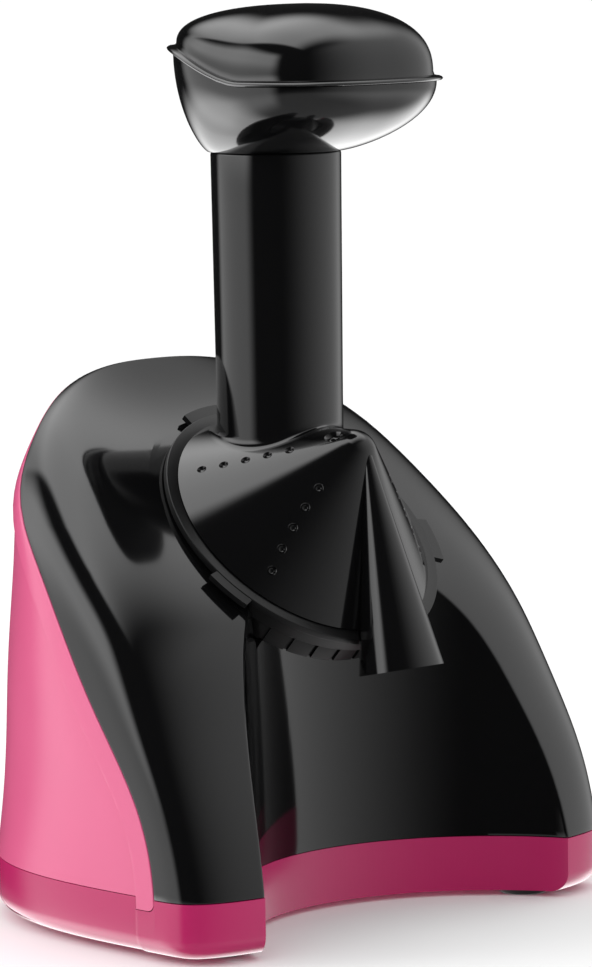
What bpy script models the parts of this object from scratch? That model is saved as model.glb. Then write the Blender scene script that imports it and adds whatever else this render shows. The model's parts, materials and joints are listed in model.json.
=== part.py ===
"""Countertop ice cream maker: frozen fruit goes down the feed tube onto a spinning cone cutter.

Metres, +Z up, front towards -Y. Everything is laid out around the feed tube's vertical axis; the empty
"ice_cream_maker" then moves the whole model so that the origin is under the middle of its box.
The "drive_axis" frame has its origin in the middle of the cutter cone's base and its Z axis along the
tilted cone axis, pointing up and forward, and its Y axis up the cone's base.
"""

from math import atan, atan2, cos, pi, radians, sin, sqrt

import bmesh
import bpy
from mathutils import Matrix, Vector

# Clearances and walls
FAR = 0.3                # longer than the whole model, for cutting tools
GAP = 0.0003             # between pieces that touch
RUN = 0.0004             # around a piece that turns or slides
WALL = 0.0025            # shells
SCREW_R = 0.0015
SCREW_HEAD_R = 0.003
SCREW_HEAD_T = 0.002

# Body: plan and side outline, about the feed tube's axis
HALF_WIDTH = 0.1212      # half width at the widest place
ARCH_POWER = 4.55        # roundness of the arch seen from the front
ARCH_ROOT = 0.403
BACK_Y = 0.122
TOP_Z = 0.226
APEX_Y = 0.077           # where the front face, the parting line and the back meet at the top
FRONT_Y = -0.0815        # front of the face at the plinth
SPLIT_Z = 0.0255         # top of the plinth
PANEL_STEP = 0.0015      # how far the side panel sits below the rim band
BAND = 0.0105            # width of the rim band along the parting line
BAND_DROP = 0.0045       # how far the band reaches down into the plinth
NOTCH_IN = 0.020         # how far in from the side the plinth makes room for the band's end
FACE_POWER = 3.74        # roundness of the front face in plan
SIDE_POWER = 4.57        # roundness of the sides in plan at the bottom; 1 at the top
SIDE_FADE = 0.42
FACE = [(0.0, -0.0845), (0.026, -0.0813), (0.058, -0.0725), (0.090, -0.0592), (0.122, -0.0429),
        (0.152, -0.018), (0.180, 0.010), (0.205, 0.040), (0.226, 0.077)]
PARTING = [(0.0, -0.049), (0.025, -0.0493), (0.060, -0.0406), (0.100, -0.0132), (0.150, 0.0239),
           (0.180, 0.0485), (0.205, 0.0602), (0.226, 0.077)]
PARTING_STEPS = 14

# Plinth, feet and bay
PLINTH_BOTTOM = 0.0025
PLINTH_ROUND = 0.008
PLINTH_FLOOR = 0.003
BAY_R = 0.0944           # upright hollow in the front that makes room for a bowl
FOOT_R = 0.010
FOOT_SINK = 0.0020
FOOT_PLACES = {"front": (0.033, -0.052), "rear": (0.0235, 0.078)}        # in from the side, and y
SCREW_PLACES = {"front": (0.026, -0.0675), "rear": (0.0184, 0.045)}
SCREW_SEAT = 0.003       # plinth material under a case screw's head
SCREW_BITE = 0.010       # how far a case screw runs up into its shell
POST_TOP = 0.070
RIB = 0.0024             # web that ties a screw post to its shell
RIB_REACH = 0.022
BOSS_R = 0.0042
FLOOR_VENTS = (4, 0.014, 0.012, 0.005)      # how many, first x, spacing, width
BACK_VENTS = (6, 0.118, 0.009, 0.0035)      # how many, first z, spacing, width
BACK_VENT_HALF = 0.030

# Feed tube
TUBE_TOP = 0.3155
TUBE_BORE = 0.0234
TUBE_WALL = 0.0028
TUBE_FLARE = 0.0008      # the tube's outside widens by this towards its top

# Cutter cone axis
TILT = radians(43.6)     # the base plane of the cone leans back this far from upright
CONE_Z = 0.162           # middle of the cone's base
CONE_R = 0.0585
RIM_IN = 0.0040          # the tube's back meets the base plane this far inside the cone's rim
CONE_Y = TUBE_BORE + TUBE_WALL - (CONE_R - RIM_IN) * cos(TILT)
CONE_HALF_ANGLE = radians(46.0)
CONE_SLOPE = sin(CONE_HALF_ANGLE) / cos(CONE_HALF_ANGLE)
CONE_WALL = 0.003
NOSE_R = 0.010

# Spout
APEX = (CONE_Y - CONE_R / CONE_SLOPE * sin(TILT), CONE_Z + CONE_R / CONE_SLOPE * cos(TILT))
RIM_LOW = (CONE_Y - CONE_R * cos(TILT), CONE_Z - CONE_R * sin(TILT))
SPOUT_TIP = (APEX[0] + 0.0023, APEX[1] - 0.0049)            # y, z of the funnel's point
SPOUT_END = (RIM_LOW[0] - 0.0134, RIM_LOW[1] - 0.0157)      # y, z of the middle of its mouth
SPOUT_R = 0.0176
SPOUT_WALL = 0.0022

# Lock ring, cap and socket, along the cone axis from the cone's base
FLANGE_T = 0.0035
FLANGE_R = CONE_R + 0.0050
SPIGOT_R = CONE_R - 0.0029                  # the housing's neck, over which the lock ring fits
SKIRT_R = SPIGOT_R + GAP + 0.0046
SKIRT_DEPTH = 0.0105
LUGS = [(-20.0, 8.0), (-123.0, -106.0), (94.0, 114.0)]    # degrees from the top, towards +X
LUG_OUT = 0.0048
CAP_R = SKIRT_R - 0.0035
CAP_BACK = 0.0210
CAP_PLATE = 0.0025
CAP_HOLE_R = 0.016
GRIP_NOTCHES = 16
NOTCH_DEPTH = 0.0012
NOTCH_HALF = 0.0009
SOCKET_R = SKIRT_R + 0.0007
SOCKET_DEPTH = CAP_BACK + 0.0016
SOCKET_FLOOR = 0.005
LEDGE_R = FLANGE_R + LUG_OUT + 0.0017       # shallow counterbore in which the flange and its lugs turn

# Cutter and coupling
CUTTER_GAP = 0.0061
CUTTER_TIP = CONE_R / CONE_SLOPE - 0.0165      # where the cutter is rounded off
CUTTER_SHOULDER = -0.002
CUTTER_BASE = -0.0095
HUB_BACK = -0.0160
CUTTER_SHELL = 0.003
HUB_R = 0.0135
BLADES = 6
BLADE_T = 0.0012
BLADE_PROUD = 0.0022
BLADE_SUNK = 0.0014
HEX_R = 0.009
COUPLING_TOP = -0.0060
BLADE_FIRST = 0.002      # blades run along the cone from here
BLADE_LAST = 0.036
BLADE_TEETH = 6

# Gearbox, along the cone axis
MODULE = 0.001
GEAR_TEETH = 46
PINION_TEETH = 14
BACKLASH = 0.0003
GEAR_T = 0.010
SHAFT_R = 0.004
BUSH_R = 0.0075
SEAL_T = 0.003
COVER_T = 0.003
BOX_DEPTH = 0.0225
BOX_WALL = 0.003
BOX_FLOOR = 0.006
GEAR_ROOM = 0.004        # between a gear's pitch circle and the gearbox wall
BOX_EAR_R = 0.006
BOX_SCREWS = [(0.0045, 75), (0.0035, 140), (0.0035, 205)]    # out from the wall, and angle

# Motor
MOTOR_R = 0.027
MOTOR_LENGTH = 0.066
MOTOR_WALL = 0.0017
MOTOR_SHAFT_R = 0.003
BEARING_R = 0.0082
END_CAP_T = 0.006
ROTOR_R = 0.0172
ROTOR_SLOTS = 8
CORE_BACK = 0.019        # the rotor's core, from the back of the can
CORE_FRONT = 0.043
COMMUTATOR_R = 0.0090
FAN_R = 0.022
FAN_BLADES = 6

# Plunger and handle
SHAFT_OUT = TUBE_BORE - 0.0006
PLUNGER_WALL = 0.002
PUSHER_CLEAR = 0.0043    # between the blades and the pusher when it is all the way down
PUSHER_T = 0.005
HANDLE_Y = -0.018        # middle of the handle's brim
HANDLE_HALF = 0.0480
HANDLE_POWER = 3.0
BRIM_Z = TUBE_TOP + 0.0285
BRIM_RISE = 0.0140       # the brim sweeps up by this much at the back
BRIM_LIP = 0.0023
BRIM_T = 0.0022
HANDLE_TOP = BRIM_Z + 0.0326
HANDLE_WALL = 0.0022
NECK_R = TUBE_BORE + TUBE_WALL + TUBE_FLARE + 0.0010

# Switch, gland and board
SWITCH_AT = (0.0, 0.080)      # x, z on the back
SWITCH_W = 0.022
SWITCH_H = 0.030
SWITCH_WALL = 0.0018
ROCKER_SINK = 0.0050             # its pivot lies this far under the surface
ROCKER_TIP = radians(6)          # the rocker's lower end stands out by this at rest
GLAND_AT = (0.0, 0.045)
GLAND_R = 0.0080
GLAND_NECK_R = 0.0056
GLAND_BORE = 0.0032
GLAND_OUT = 0.003                # how far it stands out of the back
BOARD_AT = (-0.038, 0.030)
BOARD = (0.056, 0.040, 0.0016)
BOARD_Z = 0.012                  # top of the posts that carry it

# Worked out from the sizes above
GEAR_CENTRES = (GEAR_TEETH + PINION_TEETH) * MODULE / 2 + BACKLASH
BOX_FRONT = -SOCKET_DEPTH - SOCKET_FLOOR - GAP          # front of the gearbox cover
BOX_MOUTH = BOX_FRONT - COVER_T - GAP                   # open side of the gearbox housing
BOX_BACK = BOX_MOUTH - BOX_DEPTH
GEAR_FRONT = BOX_MOUTH - 0.002
BOX_R = GEAR_TEETH * MODULE / 2 + GEAR_ROOM + BOX_WALL
BOX_LOW_Y = CONE_Y - BOX_R * cos(TILT) - BOX_FRONT * sin(TILT)      # the gearbox's lowest corner
BAY_Y = BOX_LOW_Y - GAP - WALL - BAY_R                  # middle of the bay, whose wall clears the gearbox
MAT = {
    "gloss_black": ((0.012, 0.012, 0.013), 0.12, 0.0), "matte_black": ((0.02, 0.02, 0.021), 0.5, 0.0),
    "pink": ((0.78, 0.13, 0.33), 0.25, 0.0), "magenta": ((0.55, 0.04, 0.15), 0.28, 0.0),
    "rubber": ((0.03, 0.03, 0.03), 0.8, 0.0), "steel": ((0.6, 0.6, 0.62), 0.3, 1.0),
    "bronze": ((0.6, 0.4, 0.2), 0.35, 1.0), "nylon": ((0.85, 0.84, 0.8), 0.4, 0.0),
    "copper": ((0.72, 0.35, 0.2), 0.35, 1.0), "board": ((0.03, 0.25, 0.1), 0.5, 0.0),
    "silicone": ((0.75, 0.75, 0.75), 0.6, 0.0),
}


# ---------------------------------------------------------------- helpers

def curve_value(knots, u):
    """Smooth value at u through (u, value) knots: cubics whose end slopes are the neighbours' slopes."""
    u = min(max(u, knots[0][0]), knots[-1][0])
    i = max(k for k in range(len(knots) - 1) if knots[k][0] <= u)

    def slope(k):
        low, high = knots[max(k - 1, 0)], knots[min(k + 1, len(knots) - 1)]
        return (high[1] - low[1]) / (high[0] - low[0])

    (u0, v0), (u1, v1) = knots[i], knots[i + 1]
    span = u1 - u0
    t = (u - u0) / span
    a, b = slope(i) * span, slope(i + 1) * span
    blend = 3 * t**2 - 2 * t**3
    return (1 - blend) * v0 + blend * v1 + (t**3 - 2 * t**2 + t) * a + (t**3 - t**2) * b


def material(slot):
    """The slot's Principled material, made once."""
    if slot in bpy.data.materials:
        return bpy.data.materials[slot]
    colour, roughness, metallic = MAT[slot]
    made = bpy.data.materials.new(slot)
    made.use_nodes = True
    shader = made.node_tree.nodes["Principled BSDF"]
    shader.inputs["Base Color"].default_value = (*colour, 1)
    shader.inputs["Roughness"].default_value = roughness
    shader.inputs["Metallic"].default_value = metallic
    made.diffuse_color = (*colour, 1)
    return made


def solid(name, verts, faces, matrix=None):
    """An object from points and faces, with its faces turned outwards."""
    mesh = bpy.data.meshes.new(name)
    mesh.from_pydata([tuple(v) for v in verts], [], faces)
    shape = bmesh.new()
    shape.from_mesh(mesh)
    bmesh.ops.recalc_face_normals(shape, faces=shape.faces)
    if shape.calc_volume(signed=True) < 0:
        bmesh.ops.reverse_faces(shape, faces=shape.faces)
    shape.to_mesh(mesh)
    shape.free()
    if matrix is not None:
        mesh.transform(matrix)
    made = bpy.data.objects.new(name, mesh)
    bpy.context.collection.objects.link(made)
    return made


def loft(name, rings, matrix=None, loop=False):
    """A closed solid through rings of equally many points: flat ends, or a loop from last to first."""
    count = len(rings[0])
    verts = [p for ring in rings for p in ring]
    faces = [] if loop else [list(range(count)), list(range(len(verts) - count, len(verts)))]
    for k in range(len(rings) if loop else len(rings) - 1):
        low, high = k * count, (k + 1) % len(rings) * count
        for i in range(count):
            j = (i + 1) % count
            faces.append([low + i, low + j, high + j, high + i])
    return solid(name, verts, faces, matrix)


def circle(radius, z=0.0, steps=32, x=0.0, y=0.0, turn=0.0):
    """Points of a level circle."""
    return [(x + radius * cos(turn + 2 * pi * i / steps), y + radius * sin(turn + 2 * pi * i / steps), z)
            for i in range(steps)]


def rod(name, radius, low, high, matrix=None, steps=32, x=0.0, y=0.0):
    """A round rod along Z from low to high."""
    return loft(name, [circle(radius, low, steps, x, y), circle(radius, high, steps, x, y)], matrix)


def turned(name, profile, matrix=None, steps=48):
    """A ring or solid turned about Z from a closed (radius, z) profile; points on the axis are shared."""
    verts, index = [], []
    for r, z in profile:
        if r < 1e-6:
            index.append([len(verts)] * steps)
            verts.append((0, 0, z))
        else:
            index.append(list(range(len(verts), len(verts) + steps)))
            verts += circle(r, z, steps)
    faces = []
    for k in range(len(profile)):
        a, b = index[k], index[(k + 1) % len(profile)]
        for i in range(steps):
            j = (i + 1) % steps
            corners = list(dict.fromkeys([a[i], a[j], b[j], b[i]]))
            if len(corners) > 2:
                faces.append(corners)
    return solid(name, verts, faces, matrix)


def box(name, low, high, matrix=None):
    """A block between two corners."""
    (x0, y0, z0), (x1, y1, z1) = low, high
    return loft(name, [[(x0, y0, z), (x1, y0, z), (x1, y1, z), (x0, y1, z)] for z in (z0, z1)], matrix)


def combine(target, tool, operation="DIFFERENCE", solver="EXACT"):
    """Applies a Boolean of target with tool, and removes the tool."""
    modifier = target.modifiers.new(operation.lower(), "BOOLEAN")
    modifier.operation = operation
    modifier.solver = solver
    modifier.object = tool
    bpy.context.view_layer.update()
    result = bpy.data.meshes.new_from_object(target.evaluated_get(bpy.context.evaluated_depsgraph_get()))
    target.modifiers.clear()
    target.data = result
    bpy.data.objects.remove(tool)
    return target


def cut(target, tool):
    """Cuts the tool out of the target with the solver that copes with nearly touching faces."""
    return combine(target, tool, "DIFFERENCE", "MANIFOLD")


def empty(name, parent=None, matrix=None):
    made = bpy.data.objects.new(name, None)
    made.empty_display_size = 0.02
    bpy.context.collection.objects.link(made)
    made.parent = parent
    made.matrix_local = matrix or Matrix()
    return made


def finish(piece, name, slot, axis_empty, frame=None, sharp=40):
    """Names a piece, gives it its material, and puts its origin on its body's axis."""
    piece.name = name
    piece.data.name = name
    piece.data.transform((frame or Matrix()).inverted())
    piece.parent = axis_empty
    piece.data.materials.clear()
    piece.data.materials.append(material(slot))
    piece.data.shade_smooth()
    piece.data.set_sharp_from_angle(angle=radians(sharp))
    return piece


# ---------------------------------------------------------------- body outline

def back_line(z):
    """Where the back lies at a height, on the middle plane."""
    return BACK_Y - (BACK_Y - APEX_Y) * min(z / TOP_Z, 1) ** 3


def side(y, z):
    """Half width of the body at y and z; in front of the parting line it is the arch's own half width."""
    rise = min(max(z / TOP_Z, 0), 1)
    edge_y, back_y = curve_value(PARTING, z), back_line(z)
    t = min(max((y - edge_y) / max(back_y - edge_y, 1e-6), 0), 1)
    power = SIDE_POWER + (1 - SIDE_POWER) * rise**SIDE_FADE
    return HALF_WIDTH * (1 - rise**ARCH_POWER) ** ARCH_ROOT * (1 - t**power) ** 0.5


def on_back(x, z):
    """A frame on the side panel's back with Z pointing out of it."""
    slope = (back_line(z - 0.001) - back_line(z + 0.001)) / 0.002
    return Matrix.Translation((x, back_line(z) - PANEL_STEP, z)) @ Matrix.Rotation(atan(slope) - pi / 2, 4, "X")


def body_ring(z, back_steps=8, face_steps=7):
    """The body's outline at a height, from the middle of the back round to the middle of the back."""
    edge_y = curve_value(PARTING, z)
    face_y = curve_value(FACE, z)
    back_y = back_line(z)
    half = [(0.0, back_y)]
    for i in range(1, back_steps + 1):
        turn = (pi / 2) * i / back_steps
        y = back_y - (back_y - edge_y) * (1 - cos(turn))
        half.append((side(y, z), y))
    wide = half[-1][0]
    for i in range(1, face_steps + 1):
        turn = (pi / 2) * i / face_steps
        x = wide * max(cos(turn), 0) ** (2 / FACE_POWER)
        half.append((x, edge_y + (face_y - edge_y) * sin(turn) ** (2 / FACE_POWER)))
    half[-1] = (0.0, face_y)
    ring = half + [(-x, y) for x, y in reversed(half[1:-1])]
    return [(x, y, z) for x, y in ring]


def body(name, low, inset=0.0):
    """The whole body as a closed solid from the height low up; inset draws every side in by a wall."""
    middle = (BACK_Y + FRONT_Y) / 2
    heights = [0.050, 0.080, 0.110, 0.140, 0.165, 0.185, 0.200, 0.212, 0.2195, 0.2240, 0.2256]
    made = loft(name, [body_ring(z) for z in [low] + [z for z in heights if z > low + 0.01]])
    if inset:
        along_y = 1 - 2 * inset / (BACK_Y - FRONT_Y)
        shrink = Matrix.Diagonal((1 - inset / HALF_WIDTH, along_y, 1 - inset / TOP_Z, 1))
        about = Matrix.Translation((0, middle, 0))
        made.data.transform(about @ shrink @ about.inverted())
    return made


def parting_line(offset=0.0, low=0.0, high=TOP_Z):
    """Side view points (y, z) of the parting line from low to high, moved back along its normal."""
    points = []
    for i in range(PARTING_STEPS + 1):
        z = low + (high - low) * i / PARTING_STEPS
        slope = (curve_value(PARTING, z + 0.001) - curve_value(PARTING, z - 0.001)) / 0.002
        size = sqrt(1 + slope**2)
        points.append((curve_value(PARTING, z) + offset / size, z - offset * slope / size))
    return points


def slab(name, outline, half=0.2):
    """A block across the body whose side view is the outline of (y, z) points."""
    return loft(name, [[(x, y, z) for y, z in outline] for x in (-half, half)])


def front_of(name, offset=0.0):
    """Everything in front of the parting line moved back by the offset."""
    line = parting_line(offset, 0.0, TOP_Z)
    (y0, z0), (y1, z1) = line[0], line[-1]
    return slab(name, [(-0.3, -0.1), (y0, -0.1)] + line + [(y1 + 0.05, z1 + 0.05), (-0.3, z1 + 0.05)])


def band_block(name, grow=0.0):
    """The rim band's room: a strip behind the parting line with a rounded lower end."""
    low = SPLIT_Z - BAND_DROP - grow
    ahead = [p for p in parting_line(GAP / 2 - grow) if p[1] > low + 0.0065]
    behind = [p for p in parting_line(BAND + grow) if p[1] > low + 0.0035]
    (front_y, _), (back_y, _) = ahead[0], behind[0]
    corner = [(front_y + 0.0035 * (1 - cos(t)), low + 0.0035 * (1 - sin(t)))
              for t in (0.0, pi / 6, pi / 3, pi / 2)]
    top = [(ahead[-1][0] + 0.04, ahead[-1][1] + 0.04), (behind[-1][0] + 0.04, behind[-1][1] + 0.04)]
    return slab(name, [(back_y, low)] + corner[::-1] + ahead + top + behind[::-1])


# ---------------------------------------------------------------- scene and frames

for old in list(bpy.data.objects):
    bpy.data.objects.remove(old)

SPOUT_LEAN = atan2(SPOUT_TIP[0] - SPOUT_END[0], SPOUT_TIP[1] - SPOUT_END[1])
SPOUT_FRONT = SPOUT_END[0] - SPOUT_R * cos(SPOUT_LEAN)
TUBE_Y = -(BACK_Y + GLAND_OUT + SPOUT_FRONT) / 2      # puts the middle of the box at y = 0
CONE_FRAME = Matrix.Translation((0, CONE_Y, CONE_Z)) @ Matrix.Rotation(TILT, 4, "X")
MOTOR_FRAME = CONE_FRAME @ Matrix.Translation((GEAR_CENTRES, 0, 0))
maker = empty("ice_cream_maker", None, Matrix.Translation((0, TUBE_Y, 0)))
base_axis = empty("base", maker)
drive_axis = empty("drive_axis", maker, CONE_FRAME)
rotor_axis = empty("rotor_axis", maker, MOTOR_FRAME)
cap_axis = empty("cap_axis", maker, CONE_FRAME)
cutter_axis = empty("cutter_axis", drive_axis)
chute_axis = empty("chute_axis", cap_axis)
plunger_axis = empty("plunger_axis", chute_axis, CONE_FRAME.inverted())


def base_piece(piece, name, slot, sharp=40):
    return finish(piece, name, slot, base_axis, None, sharp)


def drive_piece(piece, name, slot, sharp=40):
    return finish(piece, name, slot, drive_axis, CONE_FRAME, sharp)


def cutter_piece(piece, name, slot, sharp=40):
    return finish(piece, name, slot, cutter_axis, CONE_FRAME, sharp)


def cap_piece(piece, name, slot, sharp=40):
    return finish(piece, name, slot, cap_axis, CONE_FRAME, sharp)


def rotor_piece(piece, name, slot, sharp=40):
    return finish(piece, name, slot, rotor_axis, MOTOR_FRAME, sharp)


def chute_piece(piece, name, slot, sharp=40):
    return finish(piece, name, slot, chute_axis, CONE_FRAME, sharp)


def plunger_piece(piece, name, slot, sharp=40):
    return finish(piece, name, slot, plunger_axis, None, sharp)


# ---------------------------------------------------------------- funnel, used by spout, housing and ring

def funnel_parts():
    """The funnel's frame (Z from the mouth up to the tip) and its length."""
    tip = Vector((0, *SPOUT_TIP))
    end = Vector((0, *SPOUT_END))
    return Matrix.Translation(end) @ Matrix.Rotation(-SPOUT_LEAN, 4, "X"), (tip - end).length


def funnel(name, grow=0.0, past=0.0):
    """The funnel as a solid round cone, grown all over; past lengthens it beyond the mouth."""
    frame, length = funnel_parts()
    slope = SPOUT_R / (length * 1.05)
    tip = [(0, length * 0.97 + grow), (slope * length * 0.11 + grow, length * 0.94 + grow * 0.5)]
    return turned(name, tip + [(SPOUT_R + grow + slope * past, -past), (0, -past)], frame, 32)


# ---------------------------------------------------------------- casings

def bay_rod(name, grow=0.0, low=-0.05, high=0.3):
    """The bay's upright hollow as a rod."""
    return loft(name, [circle(BAY_R + grow, z, 48, 0, BAY_Y, pi / 48) for z in (low, high)])


def bay_and_socket(name, grow):
    """The bay and the socket for the chute as one solid, grown by a wall."""
    socket = rod("socket", SOCKET_R + grow, -SOCKET_DEPTH - SOCKET_FLOOR, FAR, CONE_FRAME, 48)
    return combine(bay_rod(name, grow), socket, "UNION", "MANIFOLD")


def make_front_shell():
    """Black front: sloping face, the walls of the bay and the socket that takes the chute."""
    low = SPLIT_Z + GAP
    shell = combine(body("front", low), front_of("ahead", -GAP / 2), "INTERSECT")
    cavity = cut(body("inside", 0.010, WALL), bay_and_socket("walls", WALL))
    # the walls of the bay and the socket run on behind the parting line, inside the rear shell
    core = body("core", 0.015, PANEL_STEP + WALL + 2 * GAP)
    combine(core, bay_and_socket("walls", WALL), "INTERSECT", "MANIFOLD")
    cut(core, box("under", (-FAR, -FAR, -FAR), (FAR, FAR, low)))
    cut(shell, cavity)
    combine(shell, core, "UNION", "MANIFOLD")
    cut(shell, bay_rod("bay"))
    cut(shell, rod("socket", SOCKET_R, -SOCKET_DEPTH, 0.12, CONE_FRAME, 48))
    cut(shell, rod("ledge", LEDGE_R, -FLANGE_T - 2 * GAP, 0.12, CONE_FRAME, 48))
    cut(shell, rod("bush_hole", BUSH_R + GAP, -SOCKET_DEPTH - 0.02, 0.0, CONE_FRAME, 24))
    for x, y in screw_ring():
        low, high = -SOCKET_DEPTH - 0.02, -SOCKET_DEPTH - 0.001
        cut(shell, rod("blind_hole", SCREW_R + GAP, low, high, CONE_FRAME, 12, x, y))
    for name, spot in spots(SCREW_PLACES):
        if name.startswith("front"):
            add_boss(shell, spot)
    return base_piece(shell, "front_shell", "gloss_black", 30)


def screw_ring():
    """Where the three gearbox screws stand, in the cone frame."""
    polar = [(BOX_R + out, radians(turn)) for out, turn in BOX_SCREWS]
    return [(r * cos(turn), r * sin(turn)) for r, turn in polar]


def spots(places):
    """Each place on both sides, as (name, (x, y))."""
    found = []
    for end, (inward_by, y) in places.items():
        x = side(y, SPLIT_Z) - inward_by
        found += [(f"{end}_left", (-x, y)), (f"{end}_right", (x, y))]
    return found


def add_boss(shell, spot, step=0.0):
    """A screw post that runs up from the plinth until it meets the shell, with a blind hole."""
    x, y = spot
    post = rod("post", BOSS_R, SPLIT_Z + GAP, POST_TOP, None, 12, x, y)
    wall_x = x + (RIB_REACH if x > 0 else -RIB_REACH)
    low = (min(x, wall_x), y - RIB / 2, SPLIT_Z + GAP)
    combine(post, box("web", low, (max(x, wall_x), y + RIB / 2, POST_TOP - 0.005)), "UNION", "MANIFOLD")
    combine(post, body("limit", 0.005, step + WALL / 2), "INTERSECT", "MANIFOLD")
    combine(shell, post, "UNION", "MANIFOLD")
    cut(shell, rod("hole", SCREW_R + GAP, 0, SPLIT_Z + SCREW_BITE + 0.002, None, 10, x, y))


def make_rear_shell():
    """Pink rear and sides, set back behind a raised rim band along the parting line."""
    low = SPLIT_Z + GAP
    panel = body("panel", low - 0.008, PANEL_STEP)
    cut(panel, front_of("ahead", BAND / 2))
    cut(panel, box("under", (-FAR, -FAR, -FAR), (FAR, FAR, low)))
    band = combine(body("band", 0.005), band_block("band_room"), "INTERSECT", "MANIFOLD")
    shell = combine(panel, band, "UNION", "MANIFOLD")
    cut(shell, body("inside", -0.02, PANEL_STEP + WALL))
    w, h = SWITCH_W / 2, SWITCH_H / 2
    cut(shell, box("switch_hole", (-w, -h, -0.02), (w, h, 0.02), on_back(*SWITCH_AT)))
    across = Matrix.Translation((GLAND_AT[0], BACK_Y, GLAND_AT[1])) @ Matrix.Rotation(-pi / 2, 4, "X")
    cut(shell, rod("gland_hole", GLAND_NECK_R + GAP, -0.02, 0.02, across, 24))
    count, first, spacing, width = BACK_VENTS
    for i in range(count):
        z = first + spacing * i
        cut(shell, box("vent", (-BACK_VENT_HALF, BACK_Y - 0.032, z), (BACK_VENT_HALF, FAR, z + width)))
    for name, spot in spots(SCREW_PLACES):
        if name.startswith("rear"):
            add_boss(shell, spot, PANEL_STEP)
    return base_piece(shell, "rear_shell", "pink", 30)


def plinth_body(name, inset=0.0):
    """The plinth's outline from its rounded lower edge up to the split."""
    steps = 3
    rings = []
    for i in range(steps + 1):
        turn = (pi / 2) * i / steps
        draw = PLINTH_ROUND * (1 - sin(turn)) + inset
        z = PLINTH_BOTTOM + PLINTH_ROUND * (1 - cos(turn))
        rings.append(inward(body_ring(SPLIT_Z), draw, z))
    rings.append(inward(body_ring(SPLIT_Z), inset, SPLIT_Z))
    return loft(name, rings)


def inward(ring, draw, z):
    """A ring drawn in by a distance along its own normals, at height z."""
    count = len(ring)
    moved = []
    for i in range(count):
        ahead, behind = Vector(ring[(i + 1) % count]), Vector(ring[i - 1])
        along = (ahead - behind).normalized()
        x, y, _ = ring[i]
        moved.append((x + draw * along.y, y - draw * along.x, z))
    return moved


def make_plinth():
    """Magenta tray under both shells, open inside, with posts for the board and vents in its floor."""
    plinth = plinth_body("plinth")
    side_panel = plinth_body("side_panel", PANEL_STEP)
    behind = parting_line(BAND + GAP, 0.0, 0.05)[0][0]
    combine(plinth, box("behind", (-0.3, behind, -0.1), (0.3, 0.3, 0.1)))
    combine(plinth, side_panel, "UNION", "MANIFOLD")
    inside = plinth_body("inside", PANEL_STEP + WALL)
    inside.data.transform(Matrix.Translation((0, 0, PLINTH_FLOOR)))
    combine(inside, bay_rod("bay_wall", WALL))
    combine(plinth, inside)
    combine(plinth, bay_rod("bay"))
    notch, reach = band_block("notch", GAP), HALF_WIDTH - NOTCH_IN
    cut(notch, box("middle", (-reach, -FAR, -FAR), (reach, FAR, FAR)))
    combine(plinth, notch)
    seat = PLINTH_BOTTOM + FOOT_SINK
    for _, (x, y) in spots(FOOT_PLACES):
        combine(plinth, rod("foot_seat", FOOT_R + GAP, -0.01, seat, None, 16, x, y))
        combine(plinth, rod("foot_pad", FOOT_R + 0.002, seat, seat + 0.004, None, 12, x, y), "UNION")
    for _, (x, y) in spots(SCREW_PLACES):
        combine(plinth, rod("post", BOSS_R, PLINTH_BOTTOM + 0.001, SPLIT_Z, None, 12, x, y), "UNION")
        combine(plinth, rod("hole", SCREW_R + GAP, -0.01, 0.1, None, 12, x, y))
        head_top = PLINTH_BOTTOM + SCREW_SEAT + SCREW_HEAD_T
        combine(plinth, rod("head", SCREW_HEAD_R + GAP, -0.01, head_top, None, 16, x, y))
    for dx in (-1, 1):
        for dy in (-1, 1):
            x, y = BOARD_AT[0] + dx * (BOARD[0] / 2 - 0.005), BOARD_AT[1] + dy * (BOARD[1] / 2 - 0.005)
            combine(plinth, rod("post", 0.003, PLINTH_BOTTOM + 0.001, BOARD_Z, None, 12, x, y), "UNION")
    count, first, spacing, width = FLOOR_VENTS
    for i in range(count):
        x = first + spacing * i
        combine(plinth, box("vent", (x, 0.035, -0.01), (x + width, 0.075, 0.008)))
    return base_piece(plinth, "base_plinth", "magenta", 30)


def make_feet():
    top = PLINTH_BOTTOM + FOOT_SINK - GAP
    profile = [(0, 0), (FOOT_R - 0.001, 0), (FOOT_R, 0.001), (FOOT_R, top), (0, top)]
    for name, (x, y) in spots(FOOT_PLACES):
        foot = turned("foot", profile, Matrix.Translation((x, y, 0)), 16)
        base_piece(foot, f"foot_{name}", "rubber")


def screw(name, length, matrix):
    """A pan-head screw: its head's back at z = 0, its shank going up."""
    return turned(name, [(0, -SCREW_HEAD_T), (SCREW_HEAD_R, -SCREW_HEAD_T), (SCREW_HEAD_R, 0),
                         (SCREW_R, 0), (SCREW_R, length), (0, length)], matrix, 8)


def make_case_screws():
    seat = PLINTH_BOTTOM + SCREW_SEAT + SCREW_HEAD_T - GAP
    for name, (x, y) in spots(SCREW_PLACES):
        made = screw("screw", SPLIT_Z + SCREW_BITE - seat, Matrix.Translation((x, y, seat)))
        base_piece(made, f"case_screw_{name}", "steel")


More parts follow.
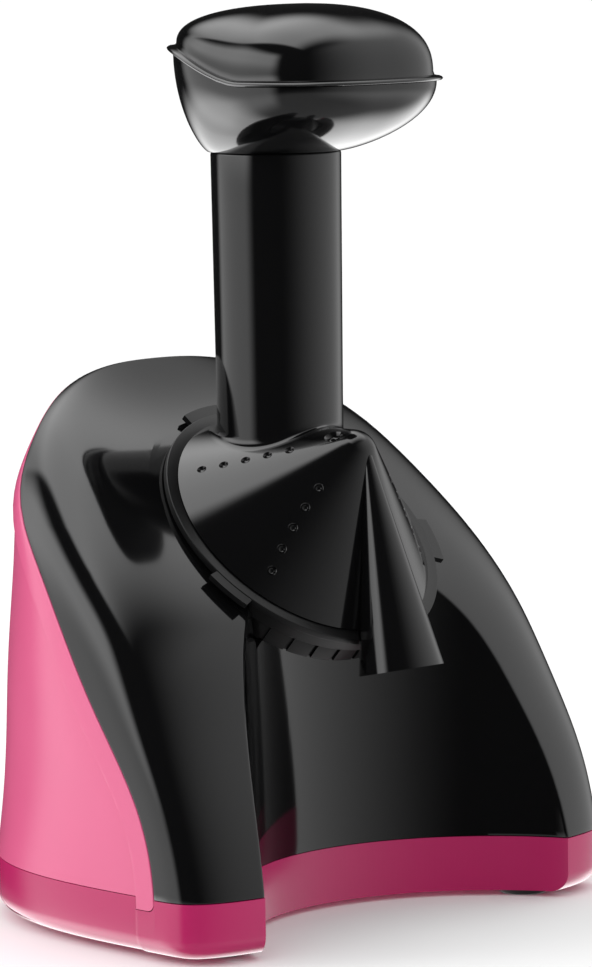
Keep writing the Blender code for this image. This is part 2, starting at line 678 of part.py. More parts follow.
def make_switch():
    """Rocker in a bezel on the back. Its frame has Z pointing out of the back."""
    frame = on_back(*SWITCH_AT)
    w, h = SWITCH_W / 2, SWITCH_H / 2
    rim = 0.0022
    bezel = box("bezel", (-w - rim, -h - rim, GAP), (w + rim, h + rim, 0.0022), frame)
    room_w, room_h = w - SWITCH_WALL, h - SWITCH_WALL
    combine(bezel, box("body", (-w + GAP, -h + GAP, -0.016), (w - GAP, h - GAP, 0.001), frame), "UNION")
    combine(bezel, box("room", (-room_w, -room_h, -0.0125), (room_w, room_h, 0.01), frame))
    base_piece(bezel, "switch_bezel", "matte_black")
    pivot = frame @ Matrix.Translation((0, 0, -ROCKER_SINK))
    switch_axis = empty("switch_axis", maker, pivot)
    half_w, half_h = room_w - RUN, room_h - 0.0010
    outline = [(-half_h, 0.0052), (0, 0.0040), (half_h, 0.0052), (half_h, 0.0010), (0.004, -0.0060),
               (-0.004, -0.0060), (-half_h, 0.0010)]
    tipped = pivot @ Matrix.Rotation(ROCKER_TIP, 4, "X")
    rocker = loft("rocker", [[(end, up, out) for up, out in outline] for end in (-half_w, half_w)], tipped)
    finish(rocker, "switch_rocker", "gloss_black", switch_axis, pivot)


def make_gland():
    """Strain relief in the back; the supply cord would pass through it."""
    x, z = GLAND_AT
    out = Matrix.Translation((x, BACK_Y - PANEL_STEP, z)) @ Matrix.Rotation(-pi / 2, 4, "X")
    reach, inside = GLAND_OUT + PANEL_STEP, -WALL - 0.0016
    collar = [(GLAND_R * 0.75, reach), (GLAND_R, GAP + 0.001), (GLAND_R, GAP), (GLAND_NECK_R, GAP)]
    barb = [(GLAND_NECK_R, inside), (GLAND_R * 0.9, inside), (GLAND_R * 0.8, -0.012)]
    gland = turned("gland", [(GLAND_BORE, -0.012), (GLAND_BORE, reach)] + collar + barb, out, 14)
    base_piece(gland, "cord_gland", "rubber")


def make_board():
    bx, by = BOARD_AT
    w, d, t = BOARD
    low = BOARD_Z + GAP
    board = box("board", (bx - w / 2, by - d / 2, low), (bx + w / 2, by + d / 2, low + t))
    base_piece(board, "circuit_board", "board")
    top = low + t + GAP
    relay = box("relay", (bx - 0.022, by - 0.012, top), (bx - 0.006, by + 0.012, top + 0.014))
    base_piece(relay, "power_relay", "nylon")
    capacitor = rod("capacitor", 0.007, top, top + 0.018, None, 20, bx + 0.014, by)
    base_piece(capacitor, "suppressor_capacitor", "copper")


# ---------------------------------------------------------------- gearbox and motor

def hull_ring(grow, z, steps=24):
    """Outline round the gear and the pinion, grown by a wall: two arcs joined by their common tangents."""
    big = GEAR_TEETH * MODULE / 2 + GEAR_ROOM + grow
    small = PINION_TEETH * MODULE / 2 + GEAR_ROOM + grow
    half = pi / 2 - atan2(big - small, GEAR_CENTRES)
    ring = []
    for i in range(steps // 2 + 1):
        turn = half + (2 * pi - 2 * half) * i / (steps // 2)
        ring.append((big * cos(turn), big * sin(turn), z))
    for i in range(steps // 2 + 1):
        turn = -half + 2 * half * i / (steps // 2)
        ring.append((GEAR_CENTRES + small * cos(turn), small * sin(turn), z))
    return ring


def make_gearbox():
    cover = loft("cover", [hull_ring(BOX_WALL, z) for z in (BOX_FRONT - COVER_T, BOX_FRONT)], CONE_FRAME)
    combine(cover, rod("bush_hole", BUSH_R + GAP, -0.1, 0.1, CONE_FRAME, 16))
    housing = loft("walls", [hull_ring(BOX_WALL, z) for z in (BOX_BACK, BOX_MOUTH)], CONE_FRAME)
    for x, y in screw_ring():
        for piece, front in ((cover, BOX_FRONT), (housing, BOX_MOUTH)):
            ear = rod("ear", BOX_EAR_R, front - COVER_T, front, CONE_FRAME, 16, x, y)
            combine(piece, ear, "UNION", "MANIFOLD")
    combine(housing, loft("room", [hull_ring(0, z) for z in (BOX_BACK + BOX_FLOOR, 0.0)], CONE_FRAME))
    seat = BOX_BACK + 0.001
    combine(housing, rod("bush_seat", BUSH_R + GAP, seat, seat + BOX_FLOOR, CONE_FRAME, 16))
    combine(housing, rod("shaft_hole", MOTOR_SHAFT_R + 0.001, -0.2, 0.0, MOTOR_FRAME, 16))
    for x, y in screw_ring():
        for piece in (cover, housing):
            combine(piece, rod("hole", SCREW_R + GAP, -0.1, 0.1, CONE_FRAME, 10, x, y))
    base_piece(cover, "gearbox_cover", "matte_black")
    base_piece(housing, "gearbox_housing", "matte_black")
    seat = BOX_MOUTH - COVER_T - GAP
    for i, (x, y) in enumerate(screw_ring()):
        made = screw("screw", BOX_FRONT + 0.0035 - seat, CONE_FRAME @ Matrix.Translation((x, y, seat)))
        base_piece(made, f"gearbox_screw_{i + 1}", "steel")


def make_bearings():
    inner = SHAFT_R + RUN / 2

    def ring(name, outer, low, high, slot):
        profile = [(inner, low), (inner, high), (outer, high), (outer, low)]
        base_piece(turned(name, profile, CONE_FRAME, 16), name, slot)

    floor = -SOCKET_DEPTH
    ring("output_bush_front", BUSH_R, BOX_FRONT - COVER_T, floor - GAP, "bronze")
    ring("output_bush_rear", BUSH_R, BOX_BACK + 0.001 + GAP, BOX_BACK + BOX_FLOOR, "bronze")
    ring("shaft_seal", BUSH_R + 0.002, floor + GAP, floor + SEAL_T, "silicone")


def gear(name, teeth, low, high, bore, frame, turn):
    """A straight-toothed gear with a round bore."""
    pitch = teeth * MODULE / 2
    root, tip = pitch - 1.25 * MODULE, pitch + 0.85 * MODULE
    step = 2 * pi / teeth
    outline = []
    for k in range(teeth):
        for share, r in ((-0.27, root), (-0.10, tip), (0.10, tip), (0.27, root)):
            a = turn + step * (k + share)
            outline.append((r * cos(a), r * sin(a)))
    made = loft(name, [[(x, y, z) for x, y in outline] for z in (low, high)], frame)
    return combine(made, rod("bore", bore, low - 0.01, high + 0.01, frame, 14))


def make_drive():
    low = GEAR_FRONT - GEAR_T
    wheel = gear("gear", GEAR_TEETH, low, GEAR_FRONT, SHAFT_R + GAP, CONE_FRAME, 0)
    drive_piece(wheel, "drive_gear", "nylon", 20)
    shaft = rod("shaft", SHAFT_R, BOX_BACK + 0.001 + 2 * GAP, COUPLING_TOP - 0.004, CONE_FRAME, 16)
    drive_piece(shaft, "output_shaft", "steel")
    back = -SOCKET_DEPTH + SEAL_T + GAP
    hexagon = loft("hex", [circle(HEX_R, back, 6), circle(HEX_R, COUPLING_TOP, 6)], CONE_FRAME)
    combine(hexagon, rod("bore", SHAFT_R + GAP, -0.1, COUPLING_TOP - 0.004 + GAP, CONE_FRAME, 16))
    drive_piece(hexagon, "drive_coupling", "steel")


def cutter_radius(s):
    """Radius of the cutter's cone at a distance along the axis."""
    return CONE_R - CONE_WALL / cos(CONE_HALF_ANGLE) - CUTTER_GAP - CONE_SLOPE * s


def blade_plate(name, half, proud, sunk, serrated, spin):
    """A blade, or the slot for one: a plate in the plane of the axis, with teeth along its outer edge."""
    first, last = BLADE_FIRST, BLADE_LAST
    outline = [(cutter_radius(first) - sunk, first), (cutter_radius(last) - sunk, last)]
    for i in range(BLADE_TEETH + 1):
        s = last + (first - last) * i / BLADE_TEETH
        outline.append((cutter_radius(s) + proud, s))
        if serrated and i < BLADE_TEETH:
            s_next = s + (first - last) / BLADE_TEETH * 0.85
            outline.append((cutter_radius(s_next) + proud * 0.35, s_next))
    return loft(name, [[(r, t, s) for r, s in outline] for t in (-half, half)], spin)


def make_cutter():
    """A hollow cone that turns in the housing, driven through its hub, with blades let into its side."""
    rim = cutter_radius(CUTTER_SHOULDER)
    tip = CUTTER_TIP
    wall = rim - CUTTER_SHELL * 1.4
    inner = CUTTER_SHOULDER - CUTTER_SHELL
    hub_meet = (wall - HUB_R) / CONE_SLOPE + inner
    profile = [(0, tip + 0.0035), (cutter_radius(tip) * 0.6, tip + 0.0025), (cutter_radius(tip), tip),
               (rim, CUTTER_SHOULDER), (rim, CUTTER_BASE), (wall, CUTTER_BASE),
               (wall, inner), (HUB_R, hub_meet), (HUB_R, HUB_BACK), (0, HUB_BACK)]
    cone = turned("cone", profile, CONE_FRAME, 36)
    hexagon = [circle(HEX_R + RUN, s, 6) for s in (-0.03, COUPLING_TOP + GAP)]
    combine(cone, loft("socket", hexagon, CONE_FRAME))
    for k in range(BLADES):
        spin = CONE_FRAME @ Matrix.Rotation(2 * pi * (k + 0.5) / BLADES, 4, "Z")
        blade = blade_plate("blade", BLADE_T / 2, BLADE_PROUD, BLADE_SUNK, True, spin)
        combine(cone, blade_plate("slot", BLADE_T / 2 + GAP, 0.01, BLADE_SUNK + GAP, False, spin))
        cutter_piece(blade, f"cutter_blade_{k + 1}", "steel", 20)
    cutter_piece(cone, "cutter_cone", "nylon")


def make_motor():
    """A round universal motor behind the gearbox, its shaft beside the output shaft."""
    front = BOX_BACK - GAP
    back = front - MOTOR_LENGTH
    r, inner = MOTOR_R, MOTOR_R - MOTOR_WALL
    hole, plate = BEARING_R + GAP, front - 0.0025
    can = [(hole, front), (r, front), (r, back), (inner, back), (inner, plate), (hole, plate)]
    base_piece(turned("can", can, MOTOR_FRAME, 28), "motor_can", "steel")
    cap_front = back - GAP
    cap_back, lip = cap_front - END_CAP_T, cap_front + 0.002
    cap = [(0.0040, cap_back), (hole, cap_back + 0.001), (hole, lip), (inner - GAP, lip),
           (inner - GAP, cap_front), (r, cap_front), (r - 0.003, cap_back)]
    base_piece(turned("cap", cap, MOTOR_FRAME, 28), "motor_end_cap", "matte_black")
    run = MOTOR_SHAFT_R + RUN / 2
    for name, low, high in (("motor_bearing_front", front - 0.006, front - GAP),
                            ("motor_bearing_rear", cap_back + 0.0016, cap_front + 0.0015)):
        bearing = [(run, low), (run, high), (BEARING_R, high), (BEARING_R, low)]
        base_piece(turned(name, bearing, MOTOR_FRAME, 16), name, "bronze")
    low, high = back + CORE_BACK, back + CORE_FRONT
    bore, outside = ROTOR_R + 0.0006, inner - GAP
    field = [(bore, low - 0.001), (bore, high + 0.001), (outside, high + 0.001), (outside, low - 0.001)]
    base_piece(turned("field", field, MOTOR_FRAME, 28), "field_core", "steel")
    for k, turn in enumerate((0, pi)):
        spin = MOTOR_FRAME @ Matrix.Rotation(turn, 4, "Z")
        brush_in = COMMUTATOR_R + 0.0005
        holder = box("holder", (brush_in, -0.004, back + 0.003), (inner - 2 * GAP, 0.004, back + 0.012), spin)
        base_piece(holder, f"brush_holder_{k + 1}", "bronze")
    shaft = rod("shaft", MOTOR_SHAFT_R, cap_back + 0.0020, GEAR_FRONT + 0.001, MOTOR_FRAME, 12)
    rotor_piece(shaft, "motor_shaft", "steel")
    make_rotor(back)


def make_rotor(back):
    """What turns with the motor shaft: pinion, slotted core, commutator and fan. back is the can's end."""
    hub = MOTOR_SHAFT_R + GAP
    wide = GEAR_T / 2 + 0.0005
    middle = GEAR_FRONT - GEAR_T / 2
    pinion = gear("pinion", PINION_TEETH, middle - wide, middle + wide, hub, MOTOR_FRAME, pi / PINION_TEETH)
    rotor_piece(pinion, "motor_pinion", "steel", 20)

    def ring(name, outer, low, high, steps):
        profile = [(hub, back + low), (hub, back + high), (outer, back + high), (outer, back + low)]
        return turned(name, profile, MOTOR_FRAME, steps)

    core = ring("core", ROTOR_R, CORE_BACK, CORE_FRONT, 24)
    for k in range(ROTOR_SLOTS):
        spin = MOTOR_FRAME @ Matrix.Rotation(2 * pi * k / ROTOR_SLOTS, 4, "Z")
        combine(core, box("slot", (ROTOR_R * 0.7, -0.0011, back), (0.03, 0.0011, back + 0.06), spin))
    rotor_piece(core, "armature_core", "steel", 20)
    rotor_piece(ring("commutator", COMMUTATOR_R, 0.0035, 0.0160, 16), "commutator", "copper")
    fan = ring("fan", 0.007, CORE_FRONT + 0.004, CORE_FRONT + 0.012, 16)
    vane_low, vane_high = back + CORE_FRONT + 0.0045, back + CORE_FRONT + 0.0115
    for k in range(FAN_BLADES):
        spin = MOTOR_FRAME @ Matrix.Rotation(2 * pi * k / FAN_BLADES, 4, "Z")
        combine(fan, box("vane", (0.006, -0.0007, vane_low), (FAN_R, 0.0007, vane_high), spin), "UNION")
    rotor_piece(fan, "cooling_fan", "nylon", 20)


# ---------------------------------------------------------------- chute

def make_chute():
    """Cone housing with the feed tube standing on it, its nose and spout, lock ring and cap."""
    nose = CONE_R / CONE_SLOPE - NOSE_R / sin(CONE_HALF_ANGLE)     # centre of the nose's ball
    arc = [(NOSE_R * sin(t), nose + NOSE_R * cos(t)) for t in (0, 0.25, 0.5, pi / 2 - CONE_HALF_ANGLE)]
    base = -SKIRT_DEPTH
    cone = turned("cone", arc + [(CONE_R, 0), (SPIGOT_R, -GAP), (SPIGOT_R, base), (0, base)], CONE_FRAME, 48)
    outside = TUBE_BORE + TUBE_WALL
    levels = [(outside, CONE_Z + 0.018), (outside, CONE_Z + 0.051), (outside + TUBE_FLARE, TUBE_TOP)]
    tube = loft("tube", [circle(r, z, 32) for r, z in levels])
    combine(cone, tube, "UNION")
    inside_r = SPIGOT_R - CONE_WALL
    wall = CONE_WALL / cos(CONE_HALF_ANGLE)
    start = (CONE_R - wall - inside_r) / CONE_SLOPE
    top = (CONE_R - wall) / CONE_SLOPE
    blunt = top - 0.003
    cavity = [(0, blunt), (0.003 * CONE_SLOPE, blunt), (inside_r, start), (inside_r, -0.05), (0, -0.05)]
    combine(cone, turned("cavity", cavity, CONE_FRAME, 48))
    combine(cone, rod("bore", TUBE_BORE, CONE_Z + 0.024, TUBE_TOP + FAR, None, 32))
    combine(cone, funnel("outlet", -SPOUT_WALL, 0.01))
    chute_piece(cone, "chute_housing", "gloss_black", 30)


def cone_solid(name, grow):
    """The cone housing's outside, grown, as a tool."""
    wide, neck, lip = CONE_R + grow / cos(CONE_HALF_ANGLE), SPIGOT_R + grow, -2 * GAP - grow
    profile = [(0, wide / CONE_SLOPE), (wide, 0), (wide, lip), (neck, lip), (neck, -0.05), (0, -0.05)]
    return turned(name, profile, CONE_FRAME, 48)


def make_spout():
    """The funnel that carries the soft fruit down; its back is open where it lies on the cone."""
    spout = funnel("spout")
    cut(spout, funnel("inside", -SPOUT_WALL, 0.01))
    cut(spout, cone_solid("cone", GAP))
    chute_piece(spout, "spout_nozzle", "gloss_black", 30)


def make_lock_ring():
    """Matte ring behind the cone: flange with bayonet lugs and a skirt, open where the spout passes."""
    inner = SPIGOT_R + GAP
    front, back = -2 * GAP, -FLANGE_T
    flange = [(inner, -SKIRT_DEPTH), (inner, front), (FLANGE_R, front), (FLANGE_R, back)]
    ring = turned("ring", flange + [(SKIRT_R, back), (SKIRT_R, -SKIRT_DEPTH)], CONE_FRAME, 48)
    tip, root, steps = FLANGE_R + LUG_OUT, FLANGE_R - 0.002, 5
    for start, end in LUGS:
        turns = [radians(90 - (start + (end - start) * i / steps)) for i in range(steps + 1)]
        outline = [(tip * cos(t), tip * sin(t)) for t in turns]
        outline += [(root * cos(t), root * sin(t)) for t in reversed(turns)]
        levels = (back + 0.0003, front - 0.0003)
        lug = loft("lug", [[(x, y, z) for x, y in outline] for z in levels], CONE_FRAME)
        combine(ring, lug, "UNION")
    combine(ring, funnel("spout_room", 2 * GAP, 0.02))
    chute_piece(ring, "lock_ring", "matte_black", 30)


def make_cap():
    """The cap that closes the cone from behind, with grip notches, and its gasket."""
    front = -SKIRT_DEPTH - GAP
    inner = SPIGOT_R - CONE_WALL
    plate = -CAP_BACK + CAP_PLATE
    profile = [(CAP_HOLE_R, -CAP_BACK), (CAP_HOLE_R, plate), (inner, plate), (inner, front)]
    cap = turned("cap", profile + [(CAP_R, front), (CAP_R, -CAP_BACK)], CONE_FRAME, 32)
    low = (CAP_R - NOTCH_DEPTH, -NOTCH_HALF, -CAP_BACK - 0.01)
    for k in range(GRIP_NOTCHES):
        spin = CONE_FRAME @ Matrix.Rotation(2 * pi * k / GRIP_NOTCHES, 4, "Z")
        combine(cap, box("notch", low, (CAP_R + 0.01, NOTCH_HALF, front - 0.003), spin))
    cap_piece(cap, "bottom_cap", "matte_black", 25)
    inside, outside, low, high = inner - 0.0030, inner - GAP, plate + GAP, plate + 0.002
    gasket = [(inside, low), (inside, high), (outside, high), (outside, low)]
    cap_piece(turned("gasket", gasket, CONE_FRAME, 32), "cap_gasket", "silicone")


# ---------------------------------------------------------------- plunger

def brim_z(y):
    """Height of the brim: level at the front and the sides, sweeping up towards the back."""
    t = min(max((y - HANDLE_Y + 0.012) / (HANDLE_HALF + 0.006), 0), 1)
    return BRIM_Z + BRIM_RISE * (3 * t**2 - 2 * t**3)


def squircle(half, steps=32):
    """Points of a rounded square about the handle's middle."""
    points = []
    for i in range(steps):
        t = 2 * pi * i / steps
        c, s = cos(t), sin(t)
        points.append((half * abs(c) ** (2 / HANDLE_POWER) * (1 if c > 0 else -1),
                       HANDLE_Y + half * abs(s) ** (2 / HANDLE_POWER) * (1 if s > 0 else -1)))
    return points


def bowl_ring(u, inset=0.0, steps=32):
    """A ring of the bowl, from the neck at u = 0 to the brim at u = 1."""
    neck_z = TUBE_TOP + GAP
    neck = [(x, y) for x, y, _ in circle(NECK_R - inset, 0, steps)]
    brim = squircle(HANDLE_HALF - inset, steps)
    spread = (u * (2 - u)) ** 0.78
    ring = []
    for (x0, y0), (x1, y1) in zip(neck, brim):
        z = neck_z + (brim_z(y1) - neck_z) * u
        ring.append((x0 + (x1 - x0) * spread, y0 + (y1 - y0) * spread, z))
    return ring


def lid_ring(half, u, drop=0.0):
    """A ring of the lid's dome, from its foot at u = 0 to its crown at u = 1."""
    ring = []
    shrink = (1 - u**2.6) ** 0.45
    for x, y in squircle(half):
        foot = brim_z(y) + GAP + BRIM_T
        ring.append((x * shrink, HANDLE_Y + (y - HANDLE_Y) * shrink, foot + (HANDLE_TOP - foot) * u - drop))
    return ring


def brim_ring(half, lift):
    """A ring that follows the brim at a height above it."""
    return [(x, y, brim_z(y) + GAP + lift) for x, y in squircle(half)]


def make_handle():
    """Bowl and lid of the plunger's handle: two hollow shells that meet at the swept brim."""
    levels = (0, 0.12, 0.28, 0.48, 0.74, 1.0)
    bore = SHAFT_OUT - PLUNGER_WALL
    floor = TUBE_TOP + GAP
    outside = [bowl_ring(u) for u in levels]
    inside = [bowl_ring(u, HANDLE_WALL) for u in levels[::-1]]
    inside[-1] = [(x, y, z + HANDLE_WALL) for x, y, z in inside[-1]]
    hole = [circle(bore, floor + HANDLE_WALL), circle(bore, floor)]
    plunger_piece(loft("bowl", outside + inside + hole, None, True), "handle_bowl", "gloss_black", 40)
    rises = (0.3, 0.58, 0.8, 0.93, 0.99)
    half, within = HANDLE_HALF - 0.0012, HANDLE_HALF - 0.0012 - HANDLE_WALL
    hollow = [lid_ring(within, u, HANDLE_WALL) for u in rises[::-1]]
    edge = HANDLE_HALF + BRIM_LIP
    lip = [brim_ring(within, 0), brim_ring(HANDLE_HALF, 0), brim_ring(edge, 0.0004),
           brim_ring(edge, BRIM_T * 0.7), brim_ring(half, BRIM_T)]
    dome = [lid_ring(half, u) for u in rises]
    plunger_piece(loft("lid", hollow + lip + dome), "handle_lid", "gloss_black", 40)


def make_plunger():
    """The handle's shaft, which fills the tube, and the pusher on its end."""
    blade_r = cutter_radius(BLADE_FIRST) + BLADE_PROUD
    foot_z = CONE_Z + BLADE_FIRST * cos(TILT) + blade_r * sin(TILT) + PUSHER_CLEAR
    top = TUBE_TOP + GAP + HANDLE_WALL + 0.012
    low = foot_z + PUSHER_T + GAP
    r = SHAFT_OUT
    neck = r - PLUNGER_WALL - GAP
    bore = neck - PLUNGER_WALL + 0.0001
    shoulder = TUBE_TOP - 0.001
    make_handle()
    outline = [(r, low), (r, shoulder), (neck, shoulder), (neck, top), (bore, top), (bore, low)]
    plunger_piece(turned("shaft", outline, None, 28), "plunger_shaft", "gloss_black")
    spigot, seat, end = bore - GAP, low - GAP, low + 0.004
    outline = [(0, foot_z), (r - 0.001, foot_z), (r, foot_z + 0.001), (r, seat), (spigot, seat)]
    outline += [(spigot, end), (0, end)]
    plunger_piece(turned("pusher", outline, None, 28), "pusher_foot", "matte_black")


make_front_shell()
make_rear_shell()
make_plinth()
make_feet()
make_case_screws()
make_switch()
make_gland()
make_board()
make_gearbox()
make_bearings()
make_drive()
make_cutter()
make_motor()
make_chute()
make_spout()
make_lock_ring()
make_cap()
make_plunger()
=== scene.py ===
"""Countertop ice cream maker: the finished look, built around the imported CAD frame.

Shapes are laid out about the feed tube's upright axis, like the CAD, and then moved to where the frame
has it.
"""

import json
from math import atan2, cos, pi, radians, sin

import bmesh
import bpy
import numpy as np
from mathutils import Matrix, Vector


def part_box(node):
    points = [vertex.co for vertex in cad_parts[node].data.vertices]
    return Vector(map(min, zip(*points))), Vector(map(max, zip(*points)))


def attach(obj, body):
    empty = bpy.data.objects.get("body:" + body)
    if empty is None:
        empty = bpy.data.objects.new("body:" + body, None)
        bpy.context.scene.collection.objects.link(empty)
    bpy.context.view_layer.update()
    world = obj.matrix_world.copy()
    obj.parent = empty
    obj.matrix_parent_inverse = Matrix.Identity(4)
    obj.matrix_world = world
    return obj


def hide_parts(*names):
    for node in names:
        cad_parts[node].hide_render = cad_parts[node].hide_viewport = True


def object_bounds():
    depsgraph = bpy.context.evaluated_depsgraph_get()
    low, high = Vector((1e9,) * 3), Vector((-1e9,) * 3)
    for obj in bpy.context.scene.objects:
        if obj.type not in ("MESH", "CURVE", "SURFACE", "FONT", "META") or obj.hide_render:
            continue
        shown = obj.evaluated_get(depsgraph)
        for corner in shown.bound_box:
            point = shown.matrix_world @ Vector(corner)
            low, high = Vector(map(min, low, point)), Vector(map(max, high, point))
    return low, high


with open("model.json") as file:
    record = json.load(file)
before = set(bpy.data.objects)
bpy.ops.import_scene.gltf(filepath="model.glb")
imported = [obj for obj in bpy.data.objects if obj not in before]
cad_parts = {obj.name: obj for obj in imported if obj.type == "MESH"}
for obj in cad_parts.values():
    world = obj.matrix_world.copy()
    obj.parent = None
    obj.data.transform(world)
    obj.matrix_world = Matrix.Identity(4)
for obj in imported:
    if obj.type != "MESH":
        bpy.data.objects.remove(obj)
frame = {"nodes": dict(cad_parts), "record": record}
cad_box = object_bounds()

# ---------------------------------------------------------------- sizes, in metres, as in the CAD

FAR = 0.3
GAP = 0.0003
WALL = 0.0025
HALF_WIDTH = 0.1212
ARCH_POWER = 4.55
ARCH_ROOT = 0.403
BACK_Y = 0.122
TOP_Z = 0.226
APEX_Y = 0.077
FRONT_Y = -0.0815
SPLIT_Z = 0.0255
PANEL_STEP = 0.0015
BAND = 0.0105
BAND_DROP = 0.0045
FACE_POWER = 3.74
SIDE_POWER = 4.57
SIDE_FADE = 0.42
FACE = [(0.0, -0.0845), (0.026, -0.0813), (0.058, -0.0725), (0.090, -0.0592), (0.122, -0.0429),
        (0.152, -0.018), (0.180, 0.010), (0.205, 0.040), (0.226, 0.077)]
PARTING = [(0.0, -0.049), (0.025, -0.0493), (0.060, -0.0406), (0.100, -0.0132), (0.150, 0.0239),
           (0.180, 0.0485), (0.205, 0.0602), (0.226, 0.077)]
PLINTH_BOTTOM = 0.0025
PLINTH_ROUND = 0.008
BAY_R = 0.0944
FOOT_R = 0.010

TILT = radians(43.6)
CONE_HALF_ANGLE = radians(46.0)
CONE_SLOPE = sin(CONE_HALF_ANGLE) / cos(CONE_HALF_ANGLE)
CONE_Z = 0.162
CONE_R = 0.0585
CONE_WALL = 0.003
NOSE_R = 0.010
TUBE_TOP = 0.3155
TUBE_BORE = 0.0234
TUBE_R = 0.0262
TUBE_FLARE = 0.0008
TUBE_FOOT = 0.213
TUBE_END = 0.186
CONE_Y = TUBE_R - (CONE_R - 0.0040) * cos(TILT)
APEX = (CONE_Y - CONE_R / CONE_SLOPE * sin(TILT), CONE_Z + CONE_R / CONE_SLOPE * cos(TILT))
RIM_LOW = (CONE_Y - CONE_R * cos(TILT), CONE_Z - CONE_R * sin(TILT))
SPOUT_TIP = (APEX[0] + 0.0023, APEX[1] - 0.0049)
SPOUT_END = (RIM_LOW[0] - 0.0134, RIM_LOW[1] - 0.0157)
SPOUT_R = 0.0176
SPOUT_WALL = 0.0022
FLANGE_T = 0.0035
FLANGE_R = CONE_R + 0.0050
SPIGOT_R = CONE_R - 0.0029
SKIRT_R = SPIGOT_R + GAP + 0.0046
SKIRT_DEPTH = 0.0105
LUGS = [(-20.0, 8.0), (-123.0, -106.0), (94.0, 114.0)]
LUG_OUT = 0.0048
CAP_R = SKIRT_R - 0.0035
CAP_BACK = 0.0210
CAP_PLATE = 0.0025
CAP_HOLE_R = 0.016
SOCKET_R = SKIRT_R + 0.0007
SOCKET_DEPTH = CAP_BACK + 0.0016
SOCKET_FLOOR = 0.005
LEDGE_R = FLANGE_R + LUG_OUT + 0.0017
HANDLE_Y = -0.018
HANDLE_HALF = 0.0480
HANDLE_POWER = 3.0
BRIM_Z = TUBE_TOP + 0.0285
BRIM_RISE = 0.0140
BRIM_LIP = 0.0023
BRIM_T = 0.0022
NECK_R = TUBE_R + TUBE_FLARE + 0.0010
SWITCH_W = 0.022
SWITCH_H = 0.030
SWITCH_Z = 0.080
GLAND_Z = 0.045
GLAND_HOLE_R = 0.0059
SHAFT_HOLE_R = 0.0095
SCREW_HOLE_R = 0.0033
VENTS = 6
VENT_Z = 0.118
VENT_PITCH = 0.009
VENT_HALF = 0.030
VENT_R = 0.00175
NOTCH_IN = 0.020
FOOT_PLACES = [(0.033, -0.052), (0.0235, 0.078)]
SCREW_PLACES = [(0.026, -0.0675), (0.0184, 0.045)]

low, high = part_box("plunger_shaft")
TUBE_AT = Vector(((low.x + high.x) / 2, (low.y + high.y) / 2, 0))
BAY_Y = CONE_Y - 0.030 * cos(TILT) + (SOCKET_DEPTH + SOCKET_FLOOR + GAP) * sin(TILT) - GAP - WALL - BAY_R
LID_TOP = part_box("handle_lid")[1].z - 0.0001  # the lid stays just inside the CAD's own
TO_FRAME = Matrix.Translation(TUBE_AT)
CONE_FRAME = Matrix.Translation((0, CONE_Y, CONE_Z)) @ Matrix.Rotation(TILT, 4, "X")


# ---------------------------------------------------------------- mesh helpers

def spline(knots):
    """A natural cubic spline through (u, value) knots, as a function of an array."""
    u, v = np.array(knots, float).T
    n, h = len(u), np.diff(u)
    system, right = np.eye(n), np.zeros(n)
    for i in range(1, n - 1):
        system[i, i - 1:i + 2] = h[i - 1], 2 * (h[i - 1] + h[i]), h[i]
        right[i] = 6 * ((v[i + 1] - v[i]) / h[i] - (v[i] - v[i - 1]) / h[i - 1])
    bend = np.linalg.solve(system, right)

    def value(at):
        at = np.clip(at, u[0], u[-1])
        i = np.clip(np.searchsorted(u, at) - 1, 0, n - 2)
        a, b = u[i + 1] - at, at - u[i]
        cubic = (bend[i] * a**3 + bend[i + 1] * b**3) / (6 * h[i])
        line = (v[i] / h[i] - bend[i] * h[i] / 6) * a + (v[i + 1] / h[i] - bend[i + 1] * h[i] / 6) * b
        return cubic + line

    return value


face_line = spline(FACE)
parting = spline(PARTING)


def resample(points, count):
    """The same open line with evenly spaced points."""
    points = np.asarray(points, float)
    along = np.r_[0, np.cumsum(np.linalg.norm(np.diff(points, axis=0), axis=1))]
    at = np.linspace(0, along[-1], count)
    return np.stack([np.interp(at, along, points[:, k]) for k in range(points.shape[1])], axis=1)


def trimmed(points, start=0.0, end=0.0, count=600):
    """The same line shortened at its ends."""
    points = np.asarray(points, float)
    along = np.r_[0, np.cumsum(np.linalg.norm(np.diff(points, axis=0), axis=1))]
    at = np.linspace(start, along[-1] - end, count)
    return np.stack([np.interp(at, along, points[:, k]) for k in range(points.shape[1])], axis=1)


def bend(a, corner, b, count=5):
    """Points of a smooth turn from a to b round the corner, ends left out."""
    a, corner, b = map(np.asarray, (a, corner, b))
    t = np.linspace(0, 1, count + 2)[1:-1, None]
    return (1 - t)**2 * a + 2 * t * (1 - t) * corner + t**2 * b


def solid(name, verts, faces, matrix=None):
    """An object from points and faces, turned outwards."""
    mesh = bpy.data.meshes.new(name)
    mesh.from_pydata([tuple(map(float, v)) for v in verts], [], faces)
    shape = bmesh.new()
    shape.from_mesh(mesh)
    bmesh.ops.triangulate(shape, faces=[face for face in shape.faces if len(face.verts) > 4])
    bmesh.ops.recalc_face_normals(shape, faces=shape.faces)
    if shape.calc_volume(signed=True) < 0:
        bmesh.ops.reverse_faces(shape, faces=shape.faces)
    shape.to_mesh(mesh)
    shape.free()
    if matrix is not None:
        mesh.transform(matrix)
    made = bpy.data.objects.new(name, mesh)
    bpy.context.collection.objects.link(made)
    return made


